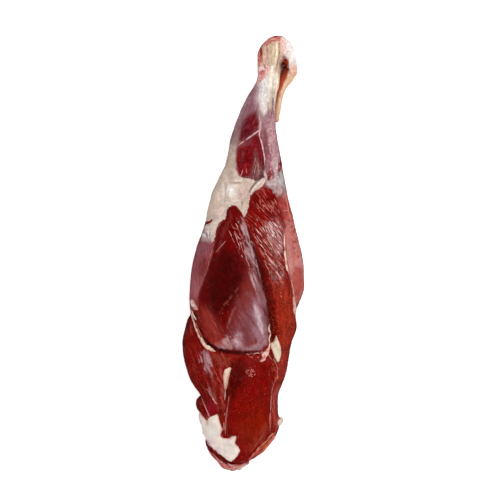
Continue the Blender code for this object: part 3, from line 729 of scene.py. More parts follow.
lay([(275, 124), (279, 124), (284, 160), (284, 172), (279, 160)], tone(156, 100, 110), 0.8, 1.6, torn=1.5)
lay([(266.4, 150), (270, 150), (272, 172), (267.6, 176)], tone(150, 84, 96), 0.85, 1.6, torn=2)
lay([(236, 104), (246, 92), (252, 96), (244, 112), (234, 134), (229, 140)], tone(168, 134, 138), 0.9, 3, torn=4)
lay([(264, 128), (267, 134), (268, 152), (266, 166), (264.4, 150)], tone(118, 66, 78), 0.7, 1.6)
veil_dense *= 1 - region(WINDOW_A, 3.0) * 0.9
lay(WINDOW_B, tone(116, 56, 63), 0.74, 1.6)
lay([(238, 150), (246, 146), (248, 152), (242, 160), (238, 166)], tone(126, 70, 78), 0.7, 3)
veil_dense *= 1 - region([(237, 152), (240, 149.6), (245, 148.6), (250, 147), (254, 147.6), (255, 153), (254.4, 161), (252.6, 169), (251.4, 174), (250, 179.4), (245, 179.8), (240, 177), (237.2, 171), (236.2, 162)], 1.3, p + warp)
veil_dense *= 1 - region([(250.6, 140), (258.8, 134), (262, 142), (264, 151), (266, 160), (266, 168), (263, 171), (259.4, 167), (256.6, 158), (253.4, 148.6)], 0.9, p + warp)
lay([(254.4, 152), (256, 150.4), (257.6, 158), (260.2, 167), (264.4, 170), (264, 176.4), (260, 181.6), (255, 184.6), (250.4, 182), (249.8, 176), (252.2, 170), (254.2, 161)], tone(114, 62, 60), 0.84, 1.3, streaky=2)
lay([(266, 176), (275, 180), (284, 172), (288, 190), (290, 200), (280, 202), (274, 193), (266, 189)], tone(196, 176, 172), 0.94, 2, torn=2.5)
lay([(277, 172), (284, 172), (287, 188), (281, 194), (276, 184)], tone(184, 182, 180), 0.94, 2, torn=1)
lay([(283, 192), (290, 190), (294, 206), (291, 216), (284, 208)], tone(184, 104, 98), 0.85, 2.6, torn=2.5)
lay(None, tone(216, 198, 192), 0.94, 1.0, path=[(264.6, 172, 0.5), (266, 180, 1.2), (270, 186, 1.6), (275, 186, 1.2)], torn=1.5)
lay([(268, 184), (280, 184), (284, 194), (274, 192)], tone(172, 130, 128), 0.85, 1.4, torn=2, cap=0.0)
lay([(272, 162), (278, 160), (279, 176), (274, 182), (270, 174)], tone(206, 176, 176), 0.9, 1.2, torn=4, cap=0.4)
lay([(266, 168), (272, 166), (274, 180), (268, 182)], tone(150, 92, 100), 0.85, 1.6, torn=2)
lay(None, tone(112, 10, 20), 0.0, 1.0, path=[(270.4, 172, 0.1), (269.2, 176, 1.1), (268.2, 180, 1.0), (267.6, 182.4, 0.2)], torn=1.6)
lay(None, tone(112, 10, 20), 0.0, 1.0, path=[(281.0, 160.6, 0.6), (281.0, 165.6, 1.5), (279.6, 171, 1.0), (278.4, 177, 0.2)], torn=1.6)
lay(None, tone(198, 160, 164), 0.9, 1.2, path=[(261.2, 116, 0.9), (260.8, 124, 1.7), (259.8, 132, 1.3)], torn=1.0)
lay(None, tone(124, 60, 74), 0.8, 1.2, path=[(262.2, 136, 0.8), (263.4, 144, 1.3), (264.8, 152, 1.2), (266, 160, 0.5)], torn=1.0)
meat = paint(meat, tone(120, 10, 20), stroke([(269.8, 170, 1.2), (269.8, 177, 2.0), (268.2, 182, 1.4)], 1.4))
meat = paint(meat, tone(104, 4, 12), stroke([(280.6, 162, 1.4), (280.4, 170, 2.0), (278.6, 178, 1.2), (277.8, 184, 0.6)], 1.4))
lay([(202, 238), (208, 229), (214, 232), (215, 244), (211.4, 260), (206.6, 275), (201.6, 289), (198.4, 301), (196, 312), (184, 312), (180, 290), (184, 262), (194, 242)], tone(150, 80, 86), 0.88, 1.2, torn=0.6)
lay([(203, 260), (208, 257), (208, 270), (203, 278), (199, 272)], tone(122, 54, 56), 0.7, 4)
lay([(200, 243), (211, 242), (210.4, 252), (206, 258), (198, 258), (197, 250)], tone(148, 88, 98), 0.88, 3)
lay([(190, 262), (196, 258), (197, 276), (194, 296), (186, 296), (186, 272)], tone(166, 92, 102), 0.88, 3)
lay([(194, 278), (202, 276), (201, 288), (198, 298), (192, 297)], tone(172, 100, 104), 0.86, 3)
# painted highlight: a pale, streaked sheen on the right slope of the hind muscle
lay([(263, 226), (275, 221), (284, 228), (284.5, 254), (276, 252), (268, 242)], tone(176, 122, 120), 0.5, 3.0, streaky=6)
lay([(283, 228), (290, 224), (297, 226), (302, 244), (308, 268), (308, 290), (300, 306), (294, 304), (291, 284), (286, 262), (283, 246)], tone(194, 128, 122), 0.85, 1.6, torn=1.5)
lay([(288, 250), (293, 252), (296, 280), (293, 292), (289, 272)], tone(198, 130, 122), 0.84, 3)
lay([(296, 256), (303, 256), (305, 282), (299, 296), (296, 280)], tone(196, 132, 128), 0.86, 3)
lay([(278, 198), (288, 192), (296, 216), (300, 240), (290, 228), (283, 212)], tone(200, 120, 114), 0.74, 2.2, torn=3, streaky=2, cap=0.4)
lay([(276, 198), (282, 196), (287, 210), (288, 224), (282, 220), (278, 208)], tone(172, 72, 64), 0.5, 2.4, torn=2, streaky=3)
lay([(284, 222), (292, 222), (298, 236), (301, 256), (293, 262), (286, 246)], tone(196, 128, 120), 0.75, 2.0, torn=4)
lay([(286, 206), (293, 208), (298, 232), (302, 256), (296, 262), (290, 236)], tone(164, 76, 66), 0.6, 1.4, torn=-4, cap=-1.4)
lay([(289, 272), (300, 266), (304, 284), (299, 302), (294, 298)], tone(172, 82, 74), 0.78, 2.2, torn=-2)
# the silverskin of the round muscle: a thin band above that opens out below
lay([(246, 272), (251, 278), (254, 290), (251, 302), (244, 309), (240, 302), (242, 288)], tone(118, 38, 32), 0.6, 5)
lay([(245, 248), (251, 252), (257, 268), (262, 286), (266.4, 306), (269, 326), (268.6, 343), (262, 350), (250, 351.5), (236, 350.5), (225, 348.5), (217, 343),
     (221, 338), (228, 331), (232, 320), (236, 306), (242, 296), (247, 286), (249, 274), (248, 260)], tone(126, 50, 48), 0.62, 7.5, streaky=2.5)
lay([(248, 304), (256, 290), (262, 302), (266.4, 326), (258, 340), (242, 341), (232, 334), (239, 320)], tone(130, 70, 74), 0.84, 6.5, streaky=1.2)
lay([(238, 346), (262, 342), (266, 330), (268, 342), (262, 349.5), (240, 350)], tone(164, 122, 128), 0.92, 2.4, torn=2)
lay([(240, 220), (245.4, 225), (249.8, 239), (253.8, 254), (257.8, 270), (254, 273), (249.4, 256), (245.6, 240), (241, 228)], tone(180, 136, 138), 0.86, 1.4, streaky=4.5)
lay([(252, 262), (257, 270), (262, 288), (266, 306), (262, 306), (256, 288)], tone(160, 112, 114), 0.8, 2, streaky=3)
lay([(254, 300), (260, 296), (265, 312), (267.4, 330), (265, 344), (257, 342), (252, 326), (252, 310)], tone(156, 112, 122), 0.92, 3, streaky=3)
lay([(216, 342), (220, 337), (228, 335), (234, 340), (234, 348.4), (224, 348)], tone(180, 128, 130), 0.9, 2.8, torn=3)
lay([(218, 341), (222, 337.6), (229, 336.6), (231, 341), (226, 345), (220, 345.6)], tone(200, 156, 158), 0.84, 1.4, torn=6, cap=-0.8)
lay([(235, 332), (241, 330), (245, 338), (245, 346), (237, 347)], tone(184, 138, 144), 0.9, 3.0, torn=2.5)
lay([(236, 335), (241, 332.6), (243.6, 338), (241, 343), (236.6, 342)], tone(206, 172, 178), 0.86, 1.4, torn=5, cap=-0.4)
lay([(242, 326), (249, 326), (251, 343), (245, 346)], tone(124, 64, 70), 0.8, 3.4, torn=2)
# painted highlights on the silverskin: a broad whitish band along its right side and a faint pinkish streak further
# left
lay(None, tone(170, 134, 140), 0.92, 2.0, path=[(254.6, 303, 0.6), (257.4, 313, 2.8), (260.4, 324, 3.2), (262.6, 335, 1.2)])
lay(None, tone(212, 186, 190), 0.95, 1.3, path=[(254.8, 305, 0.3), (257.2, 313, 2.1), (259.8, 323, 2.3), (262, 331.6, 0.8)], torn=0.8)
lay(None, tone(168, 108, 104), 0.72, 1.6, path=[(228, 327, 0.2), (230.8, 317, 0.9), (235, 307, 0.4)], torn=1)
lay(None, tone(160, 70, 60), 0.5, 0.9, path=[(219.6, 311, 0.1), (226, 303, 0.2), (234, 294, 0.2), (241, 284, 0.1)], torn=1.6)
veil_dense *= 1 - 0.9 * stroke([(252, 248, 0.1), (258.4, 264, 0.4), (264, 281, 0.8), (268, 299, 0.9), (271, 318, 0.8), (272.4, 332, 0.4)], 1.1)
lay([(202, 304), (213, 312), (226, 331), (223, 344), (210, 339), (203, 322)], tone(172, 78, 70), 0.26, 5, streaky=5)
lay([(202.5, 350), (207, 351), (211, 357), (213, 364), (212.6, 371), (209, 373), (206, 366), (203.4, 359)], tone(180, 136, 140), 0.92, 1.4, torn=2.5, streaky=5)
lay(None, tone(184, 104, 102), 0.6, 1.6, path=[(211, 372, 0.3), (213.6, 384, 1.0), (216, 396, 0.9), (218.4, 406, 0.3)], streaky=3)
lay(None, tone(178, 84, 76), 0.5, 1.4, path=[(221.6, 368, 0.4), (222.8, 382, 0.9), (223.6, 398, 0.6), (223.8, 412, 0.3)], streaky=3)
lay(None, tone(206, 150, 148), 0.6, 0.8, path=[(207.4, 380, 0.1), (211.4, 390, 0.5), (215.4, 399, 0.2)], torn=0.8)
lay([(212, 352), (222, 352), (233, 356), (230, 362), (218, 366)], tone(150, 62, 50), 0.5, 1.6, torn=4)
lay([(260, 428), (267, 422), (269, 430), (262, 441), (252, 451), (247, 450), (255, 439)], tone(168, 78, 58), 0.3, 3.6, streaky=5)
lay([(273.6, 388), (282, 386), (281.4, 410), (278.6, 429), (273.4, 429), (273.6, 408)], tone(176, 74, 68), 0.72, 1.6, torn=1)
lay([(274, 394), (277, 394), (277, 420), (274.6, 424)], tone(148, 40, 36), 0.6, 1.6, torn=1.5)

lay([(236, 300), (262, 286), (266, 330), (262, 348), (226, 346), (230, 326)], tone(158, 112, 120), 0.84, 2.4, streaky=1.6, cap=-1.8)
lay([(236, 300), (262, 286), (266, 330), (262, 348), (226, 346), (230, 326)], tone(122, 60, 64), 0.75, 2.2, streaky=-2.0, cap=-1.8)
lay([(241, 226), (247, 230), (256, 262), (262, 290), (255, 290), (247.6, 262)], tone(196, 164, 170), 0.88, 1.4, streaky=3.4, cap=-0.8)
veil_dense *= 1 - 0.9 * stroke([(253, 248, 0.1), (259.4, 264, 0.4), (265, 281, 0.8), (268.8, 299, 0.9), (271.4, 318, 0.8), (272.6, 332, 0.4)], 1.1)
veil_dense *= 1 - 0.95 * stroke([(253.6, 248, 0.4), (257, 258, 1.4), (261.0, 269, 2.0), (264.8, 283, 2.4), (268.4, 298, 2.6), (270.6, 312, 2.4), (272, 326, 2.0), (272.8, 338, 1.2)], 1.2)

# --- fat and fascia: crisp, cream coloured
fat = np.full(n, -10.0)
fat_colour = np.tile(tone(226, 208, 190), (n, 1))


def spread(outline, colour, stroke_path=None, reach=8.0, soft=1.4, points=None):
    global fat, fat_colour
    q = p + ragged if points is None else points
    d = beside(q, stroke_path, reach) if stroke_path is not None else depth(q, outline, reach)
    fat_colour = paint(fat_colour, colour, step(d, -soft, soft))
    fat = np.maximum(fat, d)


knee = [
    (215, 176), (222, 173), (229, 170), (233, 169), (235.6, 171), (237.0, 175), (240, 179.6), (246, 180.6), (251, 181), (256, 183.6), (262, 180.4), (265.4, 180), (265, 185), (260, 190.0),
    (254, 193.6), (249.4, 198), (248.6, 208), (247.4, 214), (244.4, 219.4), (242, 214), (239, 210.4), (234.6, 206.4), (229, 208.6), (226.6, 213), (226.4, 220.6),
    (221.6, 222.6), (217.6, 228), (216, 238), (212.8, 245), (211.0, 240), (211.4, 232), (206, 229), (198, 232), (194, 228), (200, 206), (208, 186),
]
spread(knee, tone(212, 190, 176))
for at_x, at_y, rx, ry, colour in (
    # the two small near-white spots on the white lump, at (231.8, 191.6) and (230.8, 196.4), are painted highlights
    (231, 193.6, 5.5, 6.5, (232, 220, 210)), (231.8, 191.6, 1.8, 2.0, (250, 246, 242)), (230.8, 196.4, 1.4, 1.6, (248, 244, 240)), (240.6, 196.6, 3.0, 3.4, (190, 158, 152)), (234, 187, 3.0, 1.8, (232, 222, 212)),
    # the dark narrow mark at (238, 184.8), just below the upper ridge, is painted shade
    (238, 182.6, 6.5, 1.0, (226, 212, 198)), (238, 184.8, 6.5, 0.8, (170, 140, 124)), (223.4, 195, 0.8, 9, (232, 220, 206)), (225.2, 195, 0.7, 9, (176, 148, 132)),
    (214, 204, 5.5, 9, (210, 186, 170)), (218, 190, 4.5, 6, (206, 184, 168)), (212, 216, 4.2, 5, (208, 178, 166)), (205, 212, 2.0, 8, (190, 166, 154)), (219, 199, 1.6, 5, (224, 206, 192)), (210, 196, 1.6, 6, (222, 200, 188)),
    (227, 180, 3, 2.4, (224, 200, 190)), (221, 178, 2, 3, (200, 172, 158)), (216, 212, 2.4, 1.4, (226, 206, 196)), (236.6, 203, 5.4, 0.9, (240, 230, 222)), (224.2, 194, 0.8, 7, (240, 230, 220)),
    (229, 205, 3.6, 1.8, (226, 204, 196)), (238, 205.6, 3.4, 2.6, (218, 194, 182)), (246, 191, 3.0, 5, (198, 170, 156)), (245.4, 208, 2.2, 5, (216, 194, 172)),
    (241.6, 204, 0.8, 4, (150, 112, 98)), (254, 189, 4.5, 1.6, (226, 204, 190)), (260, 184.6, 3.6, 1.6, (232, 216, 204)), (250.6, 195, 1.6, 3, (222, 196, 180)), (262, 187, 3, 1.4, (214, 180, 164)),
    (231, 176, 4, 7, (186, 164, 150)), (246, 184, 3, 1.6, (204, 176, 158)), (218, 224, 3, 4, (222, 198, 188)), (214, 234, 2.2, 6, (220, 200, 186)),
):
    near = np.exp(-(((pw[:, 0] - at_x) / rx) ** 2 + ((pw[:, 1] - at_y) / ry) ** 2) * 1.2)
    fat_colour = paint(fat_colour, tone(*colour), np.clip(near * 1.25, 0, 1))
fat = np.minimum(fat, 8 * (0.5 - stroke([(212.8, 220.8, 0.2), (209.6, 223.2, 1.2), (205.4, 225.4, 0.8), (202.6, 229, 0.6)], 1.0, p + 2.4 * warp)))
meat = paint(meat, tone(128, 16, 16), stroke([(213.4, 220.4, 1.0), (209.4, 223.4, 2.2), (204, 227, 2.2)], 1.2))
# wrinkled, wet skin below the knee on the left; its palest layer is partly painted glints
lay([(202, 230), (212, 227), (214, 235), (212, 243.4), (205, 244), (199, 241)], tone(186, 152, 152), 0.97, 1.8, torn=1.5)
lay([(204, 231), (210, 230), (212.4, 236), (209, 241), (203, 239.6)], tone(222, 208, 210), 0.97, 1.0, torn=3, cap=0.8)
lay(None, tone(140, 98, 104), 0.9, 0.7, path=[(204.4, 233, 0.1), (207.4, 236, 0.5), (207.6, 240.6, 0.2)], torn=1)
lay(None, tone(150, 108, 112), 0.9, 0.7, path=[(210.6, 231, 0.1), (210, 236, 0.4), (211, 240, 0.2)], torn=1)
# hock and heel: many bands of tendon, skin and cartilage
bands = [  # outline or stroke, colour, softness, raggedness
    ([(262, 36), (280, 33), (292, 40), (298, 56), (303, 80), (290, 86), (282, 82), (281, 92), (279.6, 108), (276, 118), (271, 110), (267, 114), (264, 100), (262.5, 86), (254, 82), (252, 60), (256, 44)], (214, 186, 168), 1.6, 1),
    ([(258.4, 82), (264, 78), (268, 90), (266.4, 110), (263, 122), (257.4, 114), (255, 98)], (192, 168, 170), 4.5, 1),
    ([(260.4, 78), (268, 74), (270, 92), (267.4, 110), (264, 118), (260.4, 110), (259, 98)], (226, 214, 209), 2.0, 1.5),
    ([(260.4, 84), (264.6, 84), (264.6, 100), (262, 112), (259.6, 104)], (211, 199, 196), 1.8, 2),
    ([(262, 92), (267, 90), (266, 106), (262.4, 112)], (230, 221, 217), 1.8, 2),
    ([(256, 46), (263, 38), (272, 34), (282, 35), (284, 41), (276, 45), (268, 46), (264, 52), (263.6, 64), (257, 66), (254, 56)], (206, 130, 116), 1.6, 2),
    ([(260, 38), (270, 34), (280, 35), (280, 41), (270, 43.6), (262, 45), (257, 52), (256, 46)], (206, 114, 102), 2.0, 2.5),
    ([(256, 48), (261, 47), (262, 58), (261, 63), (256, 63)], (212, 130, 116), 1.6, 2),
    ([(262.6, 47), (266.6, 46), (268, 60), (267, 68), (263.4, 66)], (214, 176, 156), 1.0, 1.5),
    ([(281, 36), (290, 40), (297, 56), (301, 78), (292, 78), (289.6, 66), (284, 56), (280.6, 46)], (236, 216, 208), 1.6, 1),
    ([(281, 40), (286, 42), (287, 50), (283.6, 54), (280.6, 48)], (232, 190, 182), 1.4, 2.5),
    # near-white patch on the right of the heel bone: painted glints
    ([(287, 44), (292, 46), (296, 60), (291, 64), (288, 54)], (248, 240, 234), 1.2, 3),
    ([(292, 58), (297, 62), (298, 70), (294, 70)], (222, 212, 210), 1.4, 2),
    ([(291, 66), (299, 66), (301, 78), (291, 81)], (234, 186, 164), 1.6, 1.5),
    ([(294, 72), (300, 72), (300, 78), (294, 79)], (226, 160, 128), 1.2, 1),
    ([(257, 67), (267, 65), (268, 75), (264, 82), (256, 84), (255, 74)], (228, 172, 164), 1.4, 2),
    ([(258, 69), (266, 67.4), (266, 70), (258, 72)], (244, 214, 208), 0.8, 1.5),
    ([(258, 73), (264, 72), (264.6, 75), (258, 77)], (206, 124, 120), 1.0, 1.5),
    ([(259, 78), (265, 76), (264.6, 80), (259, 83)], (214, 148, 148), 1.0, 1.5),
    ([(270, 74), (280, 73), (280, 90), (278, 106), (275, 113), (271.4, 100)], (226, 212, 196), 1.2, 1),
]
for outline, colour, soft, torn in bands:
    lay(outline, tone(*colour), 0.985, soft, torn=torn)
for path, colour, soft in (
    ([(268.8, 46, 1.0), (269.6, 54, 1.3), (270.2, 63, 1.1), (271, 70, 0.6)], (206, 182, 156), 0.8),
    ([(272.8, 44, 1.2), (273, 52, 1.5), (272.8, 61, 1.2), (272.2, 70, 0.7)], (214, 188, 154), 0.9),
    ([(277.2, 44, 0.8), (276.8, 53, 1.4), (275.4, 62, 1.3), (273, 70, 0.8)], (242, 224, 198), 0.8),
    ([(280.8, 45, 0.6), (281, 52, 1.2), (279.6, 62, 1.1), (278.6, 72, 1.1), (278.6, 84, 1.0)], (226, 192, 168), 0.9),
    ([(271, 46, 0.1), (271.4, 56, 0.4), (271.6, 68, 0.3)], (172, 140, 114), 0.6),
    ([(274.8, 45, 0.1), (275, 54, 0.4), (273.8, 66, 0.3)], (170, 136, 106), 0.6),
    ([(279.2, 44, 0.2), (279.2, 54, 0.6), (277.6, 63, 0.5), (276.2, 71, 0.3)], (158, 120, 92), 0.7),
    ([(262.8, 60, 0.1), (263.8, 66, 0.4), (265.4, 70, 0.3)], (120, 60, 52), 0.7),
    ([(260.2, 47, 0.3), (261.2, 53, 1.0), (260.6, 60, 0.4)], (156, 40, 38), 0.8),
    ([(262.4, 41, 0.2), (266, 39.6, 0.5), (270, 39.4, 0.2)], (150, 60, 54), 0.8),
    ([(271, 37, 0.3), (275, 36.6, 0.6), (279, 37.6, 0.2)], (226, 150, 138), 0.8),
    ([(262, 43.6, 0.2), (265, 42.8, 0.7), (268, 43.4, 0.2)], (232, 178, 162), 0.8),
    ([(269.4, 41.6, 0.2), (273, 40.4, 0.7), (277, 41.6, 0.3)], (228, 164, 150), 0.8),
    ([(264, 39.6, 0.2), (268, 38, 0.4), (271, 38.6, 0.2)], (168, 66, 60), 0.8),
    ([(257.8, 50, 0.2), (258, 56, 0.6), (258, 62, 0.3)], (220, 150, 132), 0.8),
    ([(263, 50, 0.3), (264, 57, 0.7), (264.6, 63, 0.3)], (232, 196, 176), 0.8),
    ([(266.6, 47, 0.1), (267.6, 57, 0.4), (268.4, 68, 0.2)], (168, 112, 92), 0.7),
    ([(272, 69, 1.2), (270.8, 80, 1.5), (268.8, 93, 1.3), (267.2, 104, 0.8), (266, 111, 0.2)], (242, 230, 216), 1.2),
    ([(262.6, 84, 0.2), (262.8, 94, 0.8), (262, 104, 0.3)], (240, 234, 230), 1.2),
    ([(278, 76, 0.7), (277.4, 88, 1.0), (276.2, 98, 0.9), (275, 108, 0.5)], (240, 222, 200), 0.8),
    ([(273.2, 78, 0.2), (273, 86, 0.6), (272.6, 96, 0.3)], (164, 158, 138), 0.8),
    ([(275.4, 84, 0.1), (275, 92, 0.3), (274, 100, 0.1)], (176, 128, 104), 0.6),
    ([(272.4, 98, 0.2), (272.6, 106, 1.0), (272, 113, 0.7), (270.6, 120, 0.4)], (118, 66, 84), 1.2),
    ([(275.6, 104, 0.3), (276, 114, 0.9), (276.6, 124, 0.4)], (196, 130, 132), 1.0),
    ([(267.4, 104, 0.3), (268.4, 114, 0.8), (268, 124, 0.5)], (150, 108, 116), 1.4),
):
    lay(None, tone(*colour), 0.985, soft, path=path, torn=0.5)
# deep red hollow beside the heel bone
hollow = stroke([(284.4, 59.4, 0.5), (285.4, 63, 3.0), (285.8, 67, 4.0), (285.6, 72, 3.8), (284.0, 78, 2.8), (281.6, 84, 1.6), (280.0, 92, 1.0), (278.6, 102, 0.6)], 1.0, pw)
hollow = np.maximum(hollow, 0.8 * stroke([(283.8, 57.4, 0.5), (284.2, 60, 0.6)], 0.8))

# --- sides and underside
L = where * span  # steps round from the middle of the underside
q = np.stack([L, g[:, 1]], -1)
qw = q + warp * 4
low = step(-normal[:, 2], -0.12, 0.12)
reds = noise(np.stack([L / 9, g[:, 1] / 60, np.zeros(n)], -1), 1.0, 71, 2)
under_meat = paint(np.tile(tone(112, 12, 10), (n, 1)), tone(150, 30, 22), step(reds, 0.45, 0.7))
under_meat = paint(under_meat, tone(140, 70, 84), 1 - step(g[:, 1], 165, 215))
wander = (noise(g, 40, 5) - 0.5) * 0.10
# painted shade: the long furrows of the sides and underside are darkened along their lines
for at, y0, y1, deep in side_furrows:
    d = np.abs(where - at - wander) * span
    under_meat = paint(under_meat, tone(62, 0, 4), np.exp(-((d / 1.9) ** 2)) * step(g[:, 1], y0, y0 + 25) * (1 - step(g[:, 1], y1 - 25, y1)) * 0.75)
meat = paint(meat, under_meat, low)


def under_veil(outline, colour, dense):
    global veil_colour, veil_dense
    share = step(depth(qw, outline, 14.0) + 10 * (noise(g, 8, 73, 3) - 0.5), -7, 7) * low
    veil_colour = paint(veil_colour, colour, np.where(veil_dense < 0.05, share > 0, share))
    veil_dense = veil_dense * (1 - share) + dense * share


def under_fat(outline, colour, path=None):
    global fat, fat_colour
    d = beside(qw, path, 8.0) if path is not None else depth(qw, outline, 8.0) + 7 * (noise(g, 6, 74, 3) - 0.5)
    fat_colour = paint(fat_colour, colour, step(d, -1.4, 1.4) * low)
    fat = np.where(low > 0.3, np.maximum(fat, d), fat)


under_veil([(-60, 90), (60, 90), (60, 190), (40, 215), (0, 230), (-40, 215), (-60, 190)], tone(160, 116, 124), 0.7)
under_veil([(-95, 232), (-60, 240), (-52, 280), (-60, 320), (-95, 318)], tone(162, 92, 100), 0.8)
under_veil([(56, 215), (95, 215), (95, 310), (60, 312), (50, 270)], tone(192, 110, 104), 0.7)
under_veil([(-30, 300), (-6, 280), (4, 330), (-6, 390), (-30, 400), (-40, 350)], tone(168, 112, 112), 0.7)
under_fat([(-64, 150), (-30, 160), (-16, 190), (-26, 226), (-50, 240), (-90, 236), (-90, 160)], tone(208, 186, 170))
under_fat([(-20, 250), (4, 232), (24, 262), (30, 320), (24, 372), (10, 410), (-8, 396), (-2, 350), (-14, 300)], tone(228, 210, 194))
under_fat(None, tone(226, 206, 190), [(-38, 250, 0.6), (-36, 290, 1.6), (-38, 330, 1.0), (-34, 380, 1.8), (-30, 420, 0.8)])
under_fat(None, tone(226, 206, 190), [(36, 224, 0.6), (37, 262, 1.4), (36, 310, 2.0), (34, 360, 1.2), (30, 410, 1.6)])
under_fat([(-60, 408), (-30, 418), (-12, 436), (-20, 456), (-60, 450)], tone(226, 210, 196))
under_fat(None, tone(224, 202, 184), [(6, 92, 1.6), (4, 130, 1.2), (-4, 165, 1.6), (-14, 200, 1.8)])
under_fat(None, tone(224, 202, 184), [(14, 100, 0.8), (16, 140, 1.0), (14, 185, 1.4)])
hock_under = low * (1 - step(g[:, 1], 78, 96))
veil_colour = paint(veil_colour, tone(222, 186, 170), hock_under * (0.6 + 0.8 * small_torn))
veil_dense = np.maximum(veil_dense, hock_under * 0.985)

fat *= 1 - 0.78 * np.maximum(flank, low)  # thin, torn borders on the sides
meat[:, 1] = np.maximum(meat[:, 1] - 0.0040, 0.0004)  # lean meat holds little green and blue
meat[:, 2] = np.maximum(meat[:, 2] - 0.0034, 0.0004)
store(body.data, "meat", meat)
store(body.data, "crease_shade", crease_shade)
store(body.data, "hollow", hollow)
grainy = np.array([0.06, 0.15, 0.26, 0.35, 0.4, 0.35])[which] + 0.8 * step(p[:, 1], 275, 305) * (which == 1)
grainy = np.where((which == 5) & (p[:, 1] > 345) & (p[:, 0] > 250), 0.9, grainy)
store(body.data, "grainy", np.clip(grainy, 0, 1))
blotchy = 0.85 * region([(265, 116), (274, 110), (280, 136), (284, 166), (280, 184), (268, 184), (265, 150)], 2.5)
blotchy = np.maximum(blotchy, 0.7 * region([(256, 36), (284, 32), (284, 46), (268, 47), (265, 62), (268, 72), (262, 86), (252, 84)], 2.5))
blotchy = np.maximum(blotchy, 0.5 * region([(278, 196), (288, 190), (296, 216), (302, 250), (292, 256), (284, 222)], 2.5))
blotchy = np.maximum(blotchy, 0.25 * region([(282, 36), (292, 40), (300, 76), (290, 80), (286, 56)], 2.5))
store(body.data, "blotchy", blotchy)
store(body.data, "fibrous", np.clip(fibrous, 0, 1))
store(body.data, "veil_colour", veil_colour)
store(body.data, "veil_dense", veil_dense)
store(body.data, "fat", fat)
store(body.data, "fat_colour", fat_colour)
store(body.data, "fib", fib)
body.data.shade_smooth()

# ================================================================ the upper face as a height map, to lay pieces on
X0, Y0, STEP = 176.0, 30.0, 0.5
grid_x = np.arange(X0, 312.0, STEP)
grid_y = np.arange(Y0, 476.0, STEP)
tree = BVHTree.FromPolygons([tuple(v) for v in co], [tuple(f.vertices) for f in body.data.polygons])
gx, gy = np.meshgrid(grid_x, grid_y)
above = to_frame(np.stack([gx, gy, np.full_like(gx, 120.0)], -1)).reshape(-1, 3)
down = Vector((0, 0, -1))
height = np.full(len(above), np.nan)
for k, a in enumerate(above):
    hit = tree.ray_cast(Vector(a), down)
    if hit[0] is not None:
        height[k] = hit[0].z / GRID
height = height.reshape(gx.shape)
solid = ~np.isnan(height)
for _ in range(12):  # the map runs on a little past the edge of the leg
    empty = np.isnan(height)
    filled = np.where(empty, 0, height)
    count = (~empty).astype(float)
    s, c = np.zeros_like(filled), np.zeros_like(filled)
    for dy, dx in ((0, 1), (0, -1), (1, 0), (-1, 0)):
        s += np.roll(filled, (dy, dx), (0, 1))
        c += np.roll(count, (dy, dx), (0, 1))
    height = np.where(empty & (c > 0), s / np.maximum(c, 1) - 1.5, height)
height = np.nan_to_num(height, nan=0.0)


def blurred(z, times):
    for _ in range(times):
        z = (z * 2 + np.roll(z, 1, 0) + np.roll(z, -1, 0)) / 4
        z = (z * 2 + np.roll(z, 1, 1) + np.roll(z, -1, 1)) / 4
    return z


soft_height = blurred(height, 6)
slope_y, slope_x = np.gradient(soft_height, STEP)


def sample(z, p):
    fx, fy = (p[:, 0] - X0) / STEP, (p[:, 1] - Y0) / STEP
    fx, fy = np.clip(fx, 0, z.shape[1] - 1.001), np.clip(fy, 0, z.shape[0] - 1.001)
    i, j = fx.astype(int), fy.astype(int)
    u, v = fx - i, fy - j
    return (z[j, i] * (1 - u) + z[j, i + 1] * u) * (1 - v) + (z[j + 1, i] * (1 - u) + z[j + 1, i + 1] * u) * v


def surface(p, soft=False):
    """Height and upward normal of the leg's face at (x, y) on the drawing grid."""
    z = sample(soft_height if soft else height, p)
    m = np.stack([-sample(slope_x, p), -sample(slope_y, p), np.ones(len(p))], -1)
    return z, m / np.linalg.norm(m, axis=1)[:, None]


# ================================================================ pieces of fat and fascia laid on the face
class Gathered:
    """Vertices, faces and vertex colours of many small shapes that end up as one piece."""

    def __init__(self):
        self.verts, self.faces, self.colours, self.count = [], [], [], 0

    def add(self, verts, faces, colours):
        self.verts.append(np.asarray(verts))
        self.faces += [[i + self.count for i in f] for f in faces]
        self.colours.append(np.asarray(colours))
        self.count += len(verts)

    def piece(self, name):
        made = object_from(name, to_frame(np.vstack(self.verts)), self.faces)
        store(made.data, "tint", np.vstack(self.colours))
        made.data.shade_smooth()
        return made


